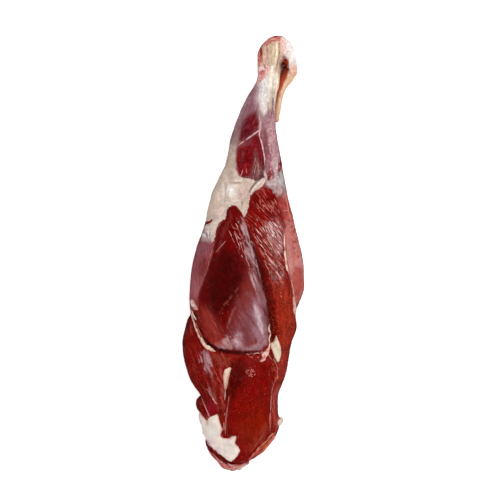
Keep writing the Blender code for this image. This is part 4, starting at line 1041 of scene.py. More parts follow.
def strand(out, path, colour, high=0.7, seed=1, wavy=0.8, sides=8, spacing=0.6, colour_b=None, broken=0.5):
    """A tapering strand of tissue lying on the face: a path of (x, y, half width)."""
    path = np.array(path, float)
    length = np.linalg.norm(np.diff(path[:, :2], axis=0), axis=1).sum()
    n = max(6, int(length / spacing))
    c = catmull(path, n)
    level = surface(c[:, :2])[1][:, 2:] ** 2
    c[:, :2] += wavy * level * np.stack([noise(c[:, :2], 4.0, seed) - 0.5, noise(c[:, :2], 4.0, seed + 5) - 0.5], -1)
    half = np.maximum(c[:, 2] * (0.55 + 0.9 * noise(c[:, :2], 2.6, seed + 9)), 0.06)
    thinned = step(noise(c[:, :2], 5.0, seed + 33), broken * 0.55, broken * 0.55 + 0.22)
    half *= 0.25 + 0.75 * thinned
    end = np.minimum(np.arange(n), np.arange(n)[::-1]) / max(n * 0.16, 1.0)
    half *= np.sqrt(np.clip(end, 0.02, 1))
    z, m = surface(c[:, :2])
    mid = np.column_stack([c[:, :2], z])
    tangent = np.gradient(mid, axis=0)
    tangent /= np.linalg.norm(tangent, axis=1)[:, None]
    side = np.cross(tangent, m)
    side /= np.linalg.norm(side, axis=1)[:, None]
    angle = np.linspace(0, 2 * np.pi, sides, endpoint=False)
    rise = high * np.minimum(1, half / 0.6)
    ring = mid[:, None] + side[:, None] * (half[:, None] * np.cos(angle))[..., None] + m[:, None] * (
        np.where(np.sin(angle) > 0, rise[:, None], 0.8) * np.sin(angle) - 0.12
    )[..., None]
    verts = ring.reshape(-1, 3)
    faces = [(a * sides + i, a * sides + (i + 1) % sides, (a + 1) * sides + (i + 1) % sides, (a + 1) * sides + i) for a in range(n - 1) for i in range(sides)]
    faces += [tuple(range(sides))[::-1], tuple((n - 1) * sides + i for i in range(sides))]
    tints = np.tile(np.asarray(colour), (n, 1))
    if colour_b is not None:
        tints = paint(tints, colour_b, np.linspace(0, 1, n))
    tints = paint(tints, tone(176, 84, 74), (1 - thinned) * 0.6)
    tints = tints * (0.78 + 0.40 * noise(c[:, :2], 2.0, seed + 21))[:, None]
    out.add(verts, faces, np.repeat(tints, sides, axis=0))


def sheet_of(out, outline, colour, high=1.2, edge=1.6, lump=0.6, lump_size=5.0, seed=1, ragged=0.8, spacing=0.5, mottle=(), times=2, thick=1.4, spots=(), steep=None):
    """A patch of tissue draped on the face, with a rounded border that dips into the meat."""
    o = rounded(outline, times)
    xs = np.arange(o[:, 0].min() - 2, o[:, 0].max() + 2, spacing)
    ys = np.arange(o[:, 1].min() - 2, o[:, 1].max() + 2, spacing)
    mx, my = np.meshgrid(xs, ys)
    p = np.stack([mx.ravel(), my.ravel()], -1)
    torn = np.stack([noise(p, 2.2, seed, 2) - 0.5, noise(p, 2.2, seed + 3, 2) - 0.5], -1) * 2 * ragged
    d = depth(p + torn, outline, 4.0, times)
    z, m = surface(p, True)
    if steep is not None:
        d = np.minimum(d, 9 * (m[:, 2] - steep))
    keep = (d > -0.9).reshape(mx.shape)
    cell = keep[:-1, :-1] & keep[1:, :-1] & keep[:-1, 1:] & keep[1:, 1:]
    z = np.maximum(z, sample(height, p) - 0.3)
    inner = np.clip(d / edge, 0, 1)
    up = high * np.sqrt(1 - (1 - inner) ** 2) * (1 + lump * (noise(p, lump_size, seed + 7, 2) - 0.5) * 2) + lump * 0.5 * (noise(p, lump_size * 0.4, seed + 8) - 0.5) * inner
    up = np.where(d < 0, -1.2 * np.clip(-d / 0.9, 0, 1), up)
    top = np.column_stack([p, z]) + m * up[:, None]
    bottom = np.column_stack([p, z - thick])
    used = np.zeros(mx.shape, bool)
    used[:-1, :-1] |= cell
    used[1:, :-1] |= cell
    used[:-1, 1:] |= cell
    used[1:, 1:] |= cell
    index = np.full(used.size, -1)
    ids = np.flatnonzero(used.ravel())
    index[ids] = np.arange(len(ids))
    index = index.reshape(used.shape)
    k = len(ids)
    faces = []
    edges = {}
    for j, i in zip(*np.nonzero(cell)):
        a, b, c, e = index[j, i], index[j, i + 1], index[j + 1, i + 1], index[j + 1, i]
        faces.append((a, e, c, b))
        faces.append((a + k, b + k, c + k, e + k))
        for u, v in ((a, e), (e, c), (c, b), (b, a)):
            if (v, u) in edges:
                del edges[(v, u)]
            else:
                edges[(u, v)] = True
    for u, v in edges:
        faces.append((v, u, u + k, v + k))
    tint = np.tile(np.asarray(colour), (len(p), 1)) * (0.9 + 0.2 * noise(p, 4, seed + 11, 2))[:, None]
    for other, size, low_at, share in mottle:
        tint = paint(tint, other, step(noise(p, size, seed + 13, 2), low_at, low_at + 0.16) * share)
    for sx, sy, rx, ry, other in spots:
        tint = paint(tint, other, 1.1 * np.exp(-(((p[:, 0] - sx) / rx) ** 2 + ((p[:, 1] - sy) / ry) ** 2)))
    tint = paint(tint, tone(206, 132, 118), (1 - np.clip(d / 0.9, 0, 1)) * 0.55)
    out.add(np.vstack([top[ids], bottom[ids]]), faces, np.vstack([tint[ids], tint[ids]]))


CREAM, PINKISH, TAN, MAUVE = tone(232, 214, 194), tone(224, 166, 150), tone(220, 180, 140), tone(190, 140, 146)
fatty = Gathered()
# two of the spots on the hip fat, at (208.6, 421.6) and (228, 444), are painted shade
sheet_of(fatty, HIP_FAT, tone(238, 223, 212), 2.0, 3.0, 0.9, 6.0, 3, 0.9, mottle=[(tone(230, 206, 200), 9, 0.58, 0.3), (tone(216, 200, 182), 6, 0.66, 0.35)], times=1,
         spots=[(200.6, 424, 2.2, 9, tone(232, 200, 204)), (209, 440, 6, 3, tone(228, 190, 200)), (217, 448.6, 5, 2.2, tone(226, 190, 198)), (208.6, 421.6, 1.6, 2.4, tone(206, 170, 158)), (222.6, 428, 1.4, 4, tone(226, 176, 164)),
                (230, 436.4, 5, 1.2, tone(232, 196, 182)), (228, 444, 4, 3, tone(226, 214, 200)), (214, 430, 4, 5, tone(240, 232, 222))])
sheet_of(fatty, ALMOND, tone(226, 210, 184), 1.5, 2.2, 0.35, 4.0, 5, 0.35, mottle=[(tone(206, 176, 150), 3, 0.6, 0.5)])
sheet_of(fatty, SLIVER, tone(228, 206, 188), 0.7, 1.2, 0.5, 3.0, 6, 0.5, mottle=[(tone(206, 150, 136), 3, 0.5, 0.7)], spots=[(226, 388, 1.6, 6, tone(206, 140, 124)), (224.6, 372, 1.0, 6, tone(214, 160, 146))])
sheet_of(fatty, SIDE_FAT, tone(232, 208, 192), 0.8, 1.4, 0.6, 2.6, 7, 0.9, mottle=[(tone(200, 120, 112), 2.2, 0.5, 0.8)])
sheet_of(fatty, RIM_FAT, tone(222, 184, 164), 0.8, 1.1, 0.5, 3.0, 8, 0.5, mottle=[(tone(206, 132, 116), 2.2, 0.5, 0.7)], steep=0.10)
sheet_of(fatty, [(278, 421), (279.4, 418.6), (281.4, 418), (283, 420), (282.6, 423), (280.4, 425.4), (278.6, 426.6), (277.6, 424)], tone(226, 212, 200), 1.0, 1.4, 0.6, 2.4, 9, 0.7, mottle=[(tone(204, 150, 138), 2.4, 0.56, 0.5)])
sheet_of(fatty, [(261, 352.4), (264.6, 349.6), (268.6, 347.4), (269, 352), (266.4, 356), (263.4, 359.4), (259.8, 360), (262.4, 355.6)], tone(226, 184, 172), 0.9, 1.3, 0.8, 2.4, 10, 1.0, mottle=[(tone(190, 86, 76), 2.2, 0.5, 0.8)])
fat_piece = fatty.piece("fat_patches")

strands = Gathered()
E = strands
# cream band round the low left of the round muscle, with a red line inside it
strand(E, [(190.6, 311, 0.5), (193.0, 317, 1.4), (195.4, 324, 1.2), (198, 331, 1.3), (201.4, 338, 1.6), (206, 344.4, 1.8), (211, 348, 1.8), (216.6, 350.4, 0.9)], tone(226, 192, 172), 1.0, 11, 0.9, broken=0.0)
strand(E, [(192.0, 310, 0.4), (194.8, 316, 0.9), (197.4, 320, 0.5)], tone(238, 220, 204), 0.9, 71, 0.8)
strand(E, [(200.4, 334, 0.4), (205, 341.6, 0.7), (210.4, 346, 0.7), (214, 348.4, 0.3)], tone(240, 222, 200), 1.1, 72, 0.6)
strand(E, [(196.4, 320, 0.3), (199.6, 330, 0.5), (204.4, 338.6, 0.5), (209.6, 344, 0.4)], tone(196, 104, 90), 0.7, 73, 0.8)
# shank
strand(E, [(258.4, 116, 0.3), (260, 124, 0.4), (260, 131, 0.6), (259.4, 137, 0.7), (260.8, 143, 0.7), (262.6, 150, 0.7), (264, 157, 0.7), (264.8, 166, 0.5), (265, 176, 0.4)], tone(224, 180, 180), 0.6, 12, 0.5, broken=0.3)
strand(E, [(260, 132, 0.5), (256.6, 134.6, 0.8), (251.6, 138, 0.8), (246, 142, 0.7), (240.6, 146, 0.6), (236.6, 149.6, 0.3)], tone(218, 170, 172), 0.55, 13, 0.5, broken=0.1)
strand(E, [(264, 181.6, 0.4), (260.4, 184.6, 0.9), (256, 188.4, 1.0), (252.4, 192.6, 0.7), (250, 197, 0.3)], tone(232, 214, 200), 0.8, 18, 1.4, broken=0.4)
strand(E, [(262.6, 187, 0.2), (258, 190.4, 0.5), (253.4, 194.4, 0.4), (250, 198.6, 0.2)], tone(214, 172, 156), 0.6, 181, 1.6, broken=0.5)
strand(E, [(249, 199, 0.3), (248.2, 205, 0.6), (246.6, 211, 0.3)], tone(222, 196, 180), 0.6, 182, 1.4, broken=0.5)
for k, (xa, ya, xm, ym, xb, yb) in enumerate([(255, 153, 254.2, 166, 250.6, 181), (255.4, 155, 255.6, 168, 252.6, 183.4), (256, 158, 257, 170, 254.8, 184.6), (257, 161, 259, 172, 257.4, 183.4), (258, 163, 261, 173, 260, 181.6),
                                              (260.6, 168, 263, 173, 262.4, 179.6), (254.6, 160, 253.4, 170, 251.4, 178), (256.6, 164, 258, 173, 256, 182)]):
    strand(E, [(xa, ya, 0.12), (xm, ym, 0.3), (xb, yb, 0.2)], tone(180, 144, 134) if k % 2 else tone(142, 96, 90), 0.4, 20 + k, 0.7, broken=0.4)
for k, (xa, ya, xm, ym, xb, yb) in enumerate([(254.8, 163, 254.4, 172, 251.8, 181), (256.2, 166, 256.4, 174, 254, 183.4), (258.6, 168, 260, 174, 258.6, 182.4), (260, 170, 262, 175, 261.4, 180.4)]):
    strand(E, [(xa, ya, 0.12), (xm, ym, 0.34), (xb, yb, 0.2)], tone(92, 50, 48), 0.3, 120 + k, 0.6, broken=0.3)
strand(E, [(249, 160, 0.1), (246.6, 170, 0.35), (247, 179, 0.2)], tone(190, 120, 116), 0.3, 81, 0.8)
strand(E, [(239.4, 181, 0.2), (242, 175, 0.35), (243.4, 169, 0.2)], tone(214, 150, 140), 0.4, 82, 0.6)
strand(E, [(246, 186, 0.2), (252, 182, 0.4), (257, 181.4, 0.2)], tone(196, 150, 134), 0.4, 83, 0.8)
# knee
strand(E, [(231, 182.6, 0.4), (238, 181.8, 0.7), (246.6, 183.4, 0.3)], tone(226, 210, 196), 0.6, 26, 0.7)
strand(E, [(223.6, 183, 0.3), (222.6, 193, 0.6), (223.6, 206, 0.3)], tone(228, 214, 200), 0.5, 27, 0.6)
strand(E, [(229.8, 186, 0.3), (228.8, 193, 0.5), (230.4, 201, 0.4), (235, 204, 0.3)], tone(226, 208, 194), 0.5, 84, 0.8)
strand(E, [(238.6, 209.4, 0.3), (242.4, 214.6, 0.5), (245, 221, 0.3)], tone(230, 206, 190), 0.5, 85, 0.6)
strand(E, [(226, 208.6, 0.2), (223, 213, 0.5), (220, 218, 0.3)], tone(232, 212, 200), 0.5, 86, 0.8)
strand(E, [(217, 226, 0.3), (215.4, 233, 0.6), (213.2, 243, 0.3)], tone(232, 212, 198), 0.6, 87, 0.6)
# this near-white strand and the pale one two lines down, both on the wet wrinkle, are partly painted glints
strand(E, [(203, 231, 0.3), (205.4, 234.6, 0.5), (204.6, 239, 0.2)], tone(240, 232, 232), 0.5, 88, 0.8)
strand(E, [(213.6, 243, 0.2), (211.2, 258, 0.4), (207.0, 273, 0.4), (203, 284, 0.4), (200.4, 295, 0.2)], tone(186, 100, 84), 0.4, 185, 0.8, broken=0.4)
strand(E, [(207, 230, 0.2), (209, 234, 0.4), (208, 240, 0.2)], tone(232, 222, 222), 0.5, 89, 0.8)
# silver band along the right of the round muscle and pale slanting threads
strand(E, [(240, 217.6, 0.3), (243.8, 223, 0.5), (247, 231, 0.6), (249.6, 243, 0.5), (252, 255, 0.4), (255, 266, 0.3)], tone(206, 160, 160), 0.4, 28, 0.8)
for k, (xa, ya, xb, yb) in enumerate([(231, 224, 239.6, 242), (235, 222.6, 243.4, 243), (239, 222.6, 246, 242), (230, 234, 237, 249), (239.4, 242, 246.4, 262), (228, 240, 218, 253), (242.4, 248, 250, 269), (247, 262, 252.6, 276),
                                      (234, 232, 239.4, 248), (238, 238, 243, 252), (242, 232, 246.4, 246), (229, 231, 233, 240), (245, 256, 250.4, 270), (236, 246, 240, 256), (249.6, 270, 255, 288), (252.6, 280, 257.4, 298)]):
    strand(E, [(xa, ya, 0.12), ((xa + xb) / 2, (ya + yb) / 2 - 0.3, 0.26), (xb, yb, 0.1)], [tone(206, 150, 144), tone(190, 110, 102), tone(214, 170, 166)][k % 3], 0.45, 140 + k, 0.6, broken=0.0)
strand(E, [(217.0, 233, 0.1), (215.0, 243, 0.35), (212.4, 254, 0.3), (209.6, 264, 0.15)], tone(196, 120, 112), 0.3, 50, 0.8)
# seam between hind and side muscle
strand(E, [(283.2, 232, 0.2), (283.6, 240, 0.6), (284, 250, 1.1), (285, 261, 1.6), (286.2, 269, 1.4), (287.6, 274, 0.4)], tone(228, 196, 176), 0.6, 51, 1.0, broken=0.2)
strand(E, [(287.4, 272, 0.3), (289.4, 279, 0.6), (291.4, 286, 0.6), (293.2, 296, 0.8), (294.2, 304, 0.5)], tone(226, 170, 146), 0.5, 91, 0.9)
strand(E, [(213, 257.5, 0.1), (218, 252, 0.3), (224, 245, 0.36), (229, 239.6, 0.1)], tone(196, 112, 102), 0.4, 190, 0.5, broken=0.1)
strand(E, [(284.4, 196, 0.2), (287, 205, 0.5), (288.4, 214, 0.4), (291, 224, 0.2)], tone(222, 150, 132), 0.4, 93, 1.6)
strand(E, [(280.6, 214, 0.2), (286, 212, 0.4), (291, 215, 0.3)], tone(220, 140, 120), 0.4, 94, 1.6)
# ragged right edge of the round muscle and scraps between it and the oval one
for k, (path, colour, high) in enumerate((
    ([(269.4, 323, 0.3), (268.4, 328, 0.9), (269.8, 333, 0.7), (268.6, 338, 0.9), (269.6, 343, 0.8)], (232, 196, 180), 0.8),
    ([(269.4, 341, 0.6), (268.6, 346, 1.3), (266.6, 350.4, 1.2)], (228, 184, 166), 0.9),
    ([(267.6, 347, 0.5), (265.4, 350.6, 1.1), (262, 352.6, 0.7)], (238, 212, 192), 0.9),
    ([(262.8, 350.4, 0.3), (259.4, 352.4, 0.7), (256.6, 351.4, 0.5), (252.6, 353, 0.5)], (224, 180, 166), 0.7),
    ([(253, 351, 0.2), (249, 352.6, 0.5), (245.6, 351.6, 0.3)], (206, 140, 130), 0.5),
    ([(259.6, 360, 0.5), (262.6, 358.4, 1.2), (265, 355.6, 1.0), (266.4, 352, 0.5)], (226, 176, 162), 0.9),
    ([(256, 356.4, 0.2), (259.4, 355.2, 0.6), (262, 356.6, 0.3)], (214, 140, 126), 0.6),
    ([(267, 352, 0.3), (269.6, 356.4, 0.6), (272.4, 359.6, 0.3)], (206, 104, 88), 0.6),
    ([(247.6, 354, 0.2), (251, 355.6, 0.5), (254.6, 354.6, 0.2)], (200, 110, 96), 0.5),
)):
    strand(E, path, tone(*colour), high, 150 + k, 1.5, broken=0.2)
strand(E, [(229.8, 392, 0.2), (228.8, 402, 0.8), (227.0, 412, 1.0), (226.2, 423, 0.9), (225.8, 433.4, 0.4)], tone(194, 104, 92), 0.9, 56, 0.9, broken=0.0)
strand(E, [(229, 398, 0.2), (227.4, 410, 0.4), (226.4, 422, 0.4), (226, 431, 0.2)], tone(222, 156, 140), 1.1, 183, 0.9, broken=0.3)
strand(E, [(225.6, 408, 0.2), (224.6, 420, 0.4), (224.2, 431, 0.2)], tone(224, 180, 160), 0.4, 95, 0.8)
strand(E, [(272.2, 360, 0.2), (273.6, 367, 0.4), (277, 373.4, 0.5), (278, 381, 0.2)], tone(206, 110, 96), 0.5, 57, 0.9)
strand(E, [(271, 352, 0.2), (273.4, 358, 0.5), (276.4, 366, 0.8), (277, 374, 0.8), (274, 381, 0.6), (271.8, 388, 0.8), (271, 398, 0.9), (270.2, 410, 0.9), (270.4, 423, 0.8), (269.0, 434, 0.3)], tone(180, 84, 74), 0.7, 58, 2.2, broken=0.05)
strand(E, [(273, 356, 0.15), (276, 363, 0.4), (277.8, 372, 0.4), (276.4, 379, 0.2)], tone(222, 160, 146), 0.9, 184, 1.6, broken=0.2)
strand(E, [(271.2, 392, 0.15), (270.2, 404, 0.35), (269.4, 418, 0.35), (270, 430, 0.15)], tone(212, 142, 126), 0.9, 191, 2.4, broken=0.2)
strand(E, [(274.6, 384, 0.15), (273.6, 396, 0.3), (273.8, 410, 0.3), (272.8, 424, 0.15)], tone(190, 96, 84), 0.6, 192, 1.6, broken=0.2)
strand(E, [(272, 392, 0.15), (272.8, 404, 0.3), (272, 418, 0.2)], tone(196, 110, 96), 0.35, 96, 1.0)
# folded butt end
strand(E, [(248.4, 459.6, 0.3), (252.6, 453.6, 0.7), (259, 446.4, 0.8), (266, 439.6, 0.7), (276.6, 430, 0.5)], tone(200, 118, 92), 0.9, 59, 1.0, broken=0.1)
strand(E, [(251, 452, 0.1), (256, 443, 0.4), (262, 434, 0.3), (266, 427, 0.1)], tone(170, 84, 60), 0.5, 186, 1.2, broken=0.3)
strand(E, [(252.6, 461, 0.2), (258.6, 455.6, 0.5), (264, 450.6, 0.3)], tone(220, 120, 116), 0.8, 187, 1.2)
strand(E, [(262, 441.6, 0.2), (267.6, 436.6, 0.6), (273.4, 431.8, 0.4)], tone(226, 172, 146), 0.9, 97, 0.8)
strand(E, [(205, 384.6, 0.2), (210, 391, 0.4), (214, 398, 0.4), (217.4, 403.4, 0.2)], tone(206, 120, 116), 0.4, 60)
strand(E, [(208, 388, 0.2), (213, 396.6, 0.4), (218.6, 404, 0.2)], tone(226, 190, 176), 0.4, 98)
strand(E, [(201, 395.6, 0.3), (204.4, 402, 0.8), (207.4, 409, 1.0), (209.6, 414, 0.9), (210.4, 418.6, 0.4)], tone(212, 132, 126), 0.6, 61, 0.8, broken=0.0)
strand(E, [(207, 440.6, 0.4), (212.4, 446.4, 0.6), (218.6, 452, 0.6), (226.4, 457.4, 0.4)], tone(222, 158, 166), 0.7, 62, 1.2)
strand(E, [(204.6, 438, 0.3), (208, 444, 0.5), (213, 449.6, 0.3)], tone(232, 196, 196), 0.6, 99, 1.0)
strand(E, [(207, 449, 0.3), (213, 457, 0.6), (221, 463.6, 0.7), (231, 467.8, 0.6), (241, 468, 0.4)], tone(204, 110, 104), 0.6, 63, 1.4)
strand(E, [(212, 451.6, 0.2), (218, 458.4, 0.5), (225, 462.8, 0.4)], tone(196, 100, 100), 0.6, 100, 1.4)
strand(E, [(226, 462, 0.2), (232, 464.4, 0.5), (239, 464.6, 0.3)], tone(226, 160, 160), 0.6, 101, 1.2)
# pale strand on the lip of the butt end: its own colour with a painted highlight
strand(E, [(248, 463, 0.4), (243, 466.6, 0.8), (236, 469.2, 0.7), (230, 469, 0.3)], tone(232, 206, 196), 0.7, 64, 1.2)
strand(E, [(253, 457, 0.2), (257, 453.6, 0.5), (261, 449, 0.3)], tone(220, 96, 44), 0.5, 102, 1.2)
strand(E, [(262, 447, 0.3), (265.6, 443.4, 0.7), (269, 439.6, 0.3)], tone(216, 104, 52), 0.5, 103, 1.2)
strand(E, [(226.4, 384, 0.3), (225.8, 393, 0.5), (225.4, 400, 0.2)], tone(206, 160, 146), 0.5, 65)
strand_piece = strands.piece("fascia_strands")

# fine striations: short pale threads in the slanting hind muscle, flecks on the others
threads = Gathered()
rng = np.random.default_rng(7)


def scattered(outline, count, lean, length, width, colours, high=0.3, seed=0, keep=None, broken=0.5):
    o = rounded(outline, 1)
    lo, hi = o.min(0), o.max(0)
    made = 0
    tries = 0
    while made < count and tries < count * 12:
        tries += 1
        a = lo + rng.random(2) * (hi - lo)
        size = length * (0.5 + rng.random())
        turn = math.radians(lean + rng.normal() * 5)
        b = a + size * np.array([math.cos(turn), math.sin(turn)])
        ends = np.array([a, (a + b) / 2, b])
        if depth(ends, outline, 3.0, 1).min() < 0.8 or (keep is not None and not keep(a)):
            continue
        if surface(ends)[1][:, 2].min() < 0.5:
            continue
        bend = rng.normal(size=2) * 0.3
        w = width * (0.6 + 0.8 * rng.random())
        strand(threads, [(a[0], a[1], w * 0.4), (*(ends[1] + bend), w), (b[0], b[1], w * 0.3)], colours[int(rng.integers(len(colours)))], high, 100 + made + seed, 0.3, 6, 0.9, broken=broken)
        made += 1


STRIATED = [(247, 218), (256, 212), (266, 218), (276, 224), (284, 232), (284, 262), (288, 276), (286, 292), (276, 290), (268, 276), (260, 258), (253, 240)]
scattered(STRIATED, 110, 53, 14, 0.27, [tone(220, 168, 158), tone(206, 140, 132), tone(190, 104, 96), tone(226, 190, 182)], 0.42, 2300, broken=0.2)
scattered(STRIATED, 100, 53, 12, 0.34, [tone(84, 8, 8), tone(100, 14, 12)], 0.3, 2500, broken=0.2)
scattered([(250, 202), (260, 196), (270, 196), (278, 206), (280, 220), (266, 218), (252, 212)], 34, 58, 10, 0.26, [tone(206, 120, 104), tone(190, 92, 78), tone(220, 150, 136)], 0.34, 2600, broken=0.3)
# pale threads on the upper right of the round muscle: fibres and painted glints
scattered([(231, 216), (238, 217), (246, 230), (251, 250), (253, 268), (246, 262), (238, 244), (231, 230)], 34, 60, 13, 0.24, [tone(214, 160, 156), tone(200, 130, 126), tone(226, 190, 186)], 0.36, 2700, broken=0.2)
scattered([(262, 262), (284, 262), (291, 288), (284, 302), (272, 292)], 80, 50, 3.4, 0.24, [tone(206, 130, 110), tone(190, 90, 70), tone(216, 160, 146)], 0.34, 3000, broken=0.2)
scattered([(262, 262), (284, 262), (291, 288), (284, 302), (272, 292)], 50, 50, 5, 0.26, [tone(96, 8, 6), tone(110, 16, 10)], 0.3, 3100, broken=0.2)
scattered(STRIATED, 130, 54, 7, 0.26, [tone(214, 160, 150), tone(186, 100, 92), tone(200, 130, 122), tone(160, 66, 58)], 0.32, 0)
# these pale threads on the right slope of the hind muscle are partly painted glints
scattered([(262, 222), (276, 218), (284, 228), (284.5, 256), (276, 256), (266, 242)], 90, 55, 7, 0.36, [tone(214, 180, 176), tone(196, 150, 148), tone(226, 200, 196)], 0.35, 300)
scattered([(250, 200), (262, 194), (272, 194), (280, 208), (282, 222), (268, 222), (254, 214)], 46, 57, 10, 0.24, [tone(196, 100, 84), tone(180, 70, 56), tone(214, 140, 124)], 0.36, 400, broken=0.1)
scattered([(276, 268), (286, 272), (293, 300), (294.4, 334), (284, 350), (278, 330), (276, 300)], 260, 92, 2.4, 0.22, [tone(196, 96, 64), tone(178, 66, 44), tone(204, 124, 98)], 0.2, 500)
scattered([(276, 350), (288, 345), (288, 372), (281, 392), (276, 384), (279, 364)], 60, 92, 2.0, 0.32, [tone(196, 100, 84), tone(186, 80, 60)], 0.25, 550)
scattered([(201, 302), (214, 306), (228, 322), (224, 338), (212, 340), (202, 326)], 120, 60, 4.0, 0.2, [tone(190, 98, 86), tone(170, 66, 58), tone(206, 136, 122)], 0.2, 600)
scattered([(218, 306), (232, 294), (241, 282), (245, 290), (236, 306), (224, 318)], 26, 125, 2.4, 0.24, [tone(206, 130, 110), tone(180, 80, 66)], 0.3, 700)
# fine pale lines on the upper right of the round muscle and in its silverskin, partly painted glints
scattered([(231, 214), (240, 217), (248, 232), (254, 254), (260, 282), (252, 284), (243, 262), (235, 244), (229, 228)], 90, 63, 7, 0.24, [tone(206, 150, 146), tone(220, 186, 182), tone(180, 96, 90)], 0.32, 1300)
scattered([(240, 282), (250, 272), (258, 276), (266, 306), (268, 330), (262, 346), (240, 346), (228, 340), (232, 312)], 110, 70, 6, 0.22, [tone(190, 150, 156), tone(166, 110, 116), tone(210, 180, 184)], 0.24, 1500)
scattered([(221, 238), (234, 236), (238, 256), (226, 268), (214, 262)], 14, 122, 4, 0.2, [tone(176, 70, 62), tone(160, 50, 44)], 0.24, 1700)
scattered(LOBE, 60, 68, 6, 0.18, [tone(170, 60, 50), tone(156, 44, 36), tone(190, 100, 86)], 0.22, 800)
scattered([(204, 372), (214, 366), (224, 372), (226, 400), (226, 430), (219, 410), (211, 386)], 80, 72, 9, 0.22, [tone(176, 76, 66), tone(190, 104, 92), tone(156, 50, 44)], 0.26, 900, broken=0.2)
scattered([(212, 352), (226, 353), (236, 356), (230, 364), (216, 366)], 30, 30, 2.4, 0.26, [tone(206, 130, 110), tone(190, 96, 80)], 0.28, 950)
scattered([(267, 362), (273, 362), (275, 384), (274.6, 410), (271, 434), (267, 434), (269, 398)], 44, 80, 3.4, 0.22, [tone(206, 120, 106), tone(196, 100, 86), tone(180, 70, 58)], 0.36, 2800, broken=0.1)
scattered([(246, 366), (252, 364.6), (257, 369), (254, 375), (248, 375)], 26, 40, 1.6, 0.3, [tone(214, 150, 138), tone(196, 104, 94), tone(96, 6, 6)], 0.4, 3200, broken=0.1)
scattered([(246, 366), (252, 364.6), (257, 369), (254, 375), (248, 375)], 26, 110, 1.6, 0.3, [tone(220, 164, 152), tone(190, 96, 86), tone(90, 4, 4)], 0.4, 3300, broken=0.1)
scattered([(263, 380), (268, 378), (268, 396), (262, 400)], 26, 60, 1.8, 0.26, [tone(170, 60, 50), tone(196, 110, 98)], 0.3, 2900)
scattered(OVAL, 190, 84, 1.4, 0.26, [tone(186, 80, 54), tone(166, 56, 40), tone(200, 110, 84)], 0.25, 1000)
for turn_at, many in ((15, 18), (70, 14), (130, 16)):
    scattered([(243, 367), (249, 364.6), (255, 367.6), (257.6, 372), (252, 376.6), (247, 375)], many, turn_at, 1.8, 0.34, [tone(214, 150, 138), tone(200, 110, 100), tone(180, 80, 70)], 0.4, 1100 + turn_at)
scattered([(282, 226), (290, 226), (300, 250), (304, 280), (298, 296), (290, 270)], 80, 84, 3, 0.30, [tone(206, 140, 130), tone(190, 100, 90)], 0.26, 1800)
scattered([(188, 262), (200, 244), (208, 242), (204, 276), (197, 300), (188, 300)], 36, 104, 4, 0.2, [tone(176, 110, 114), tone(160, 80, 84)], 0.24, 1900)
scattered([(265, 140), (276, 136), (280, 160), (278, 178), (268, 182), (266, 160)], 70, 84, 3.0, 0.26, [tone(222, 186, 190), tone(120, 44, 58), tone(206, 160, 164)], 0.28, 2000)
scattered([(266, 166), (275, 162), (277, 178), (270, 184), (266, 178)], 34, 100, 3.4, 0.34, [tone(226, 204, 204), tone(112, 16, 26), tone(206, 150, 150)], 0.35, 2100)
scattered([(208, 449), (214, 455), (222, 461), (232, 464), (244, 463), (243, 468), (234, 470), (222, 465), (212, 459)], 60, 28, 3.6, 0.36, [tone(232, 196, 190), tone(130, 20, 26), tone(206, 110, 110), tone(226, 170, 164)], 0.5, 2200)
thread_piece = threads.piece("fibre_threads")

# ================================================================ the cut heel tendon
bm = bmesh.new()
add_loft(bm, belly_rings(TENDON_PATH, TENDON_HALF, TENDON_END, sides=48, rows=120, caps=10))
tendon = new_object("heel_tendon", bm)
tco, tn = read_mesh(tendon.data)
tg = to_grid(tco)
groove_noise = noise(np.stack([np.arctan2(tg[:, 2] - 14, tg[:, 0] - 282) * 6, tg[:, 1] / 14, np.zeros(len(tg))], -1), 0.8, 81, 2) - 0.5
tco += tn * ((groove_noise * 0.7 + (noise(tg, 3, 82) - 0.5) * 0.4) * GRID)[:, None]
write_mesh(tendon.data, tco)
tco, tn = read_mesh(tendon.data)
turns_at = np.interp(tg[:, 1], [60, 66, 72, 80, 86, 92, 98, 110], [290.5, 290.2, 289.2, 286.2, 283.2, 281.2, 279.8, 278.2])
inner_side = step(turns_at - tg[:, 0] + 2.0 * (noise(tg, 4, 83) - 0.5), -1.2, 1.2) * (1 - step(tg[:, 1], 84, 112) * 0.75)
tint = np.tile(tone(222, 172, 132), (len(tg), 1))
tint = tint * (0.8 + 0.4 * noise(np.stack([tg[:, 0] + tg[:, 1] * 0.25, tg[:, 1] / 9, np.zeros(len(tg))], -1), 1.4, 84, 2))[:, None]
# painted light: the upward faces of the tendon are made paler
tint = paint(tint, tone(236, 204, 172), step(tn[:, 2], 0.3, 0.9) * 0.6)
tint = paint(tint, tone(232, 196, 176), (1 - step(tg[:, 1], 69, 78)) * 0.8)
# the inner side of the tendon, turned away from the light: red-brown flesh with painted shade, darkest near its upper
# end
tint = paint(tint, tone(172, 62, 30), inner_side)
tint = paint(tint, tone(116, 24, 10), inner_side * (1 - step(tg[:, 1], 68, 80)) * 0.8)
tint = paint(tint, tone(196, 120, 84), step(tg[:, 1], 116, 123) * 0.7)
store(tendon.data, "tint", tint)
tendon.data.shade_smooth()


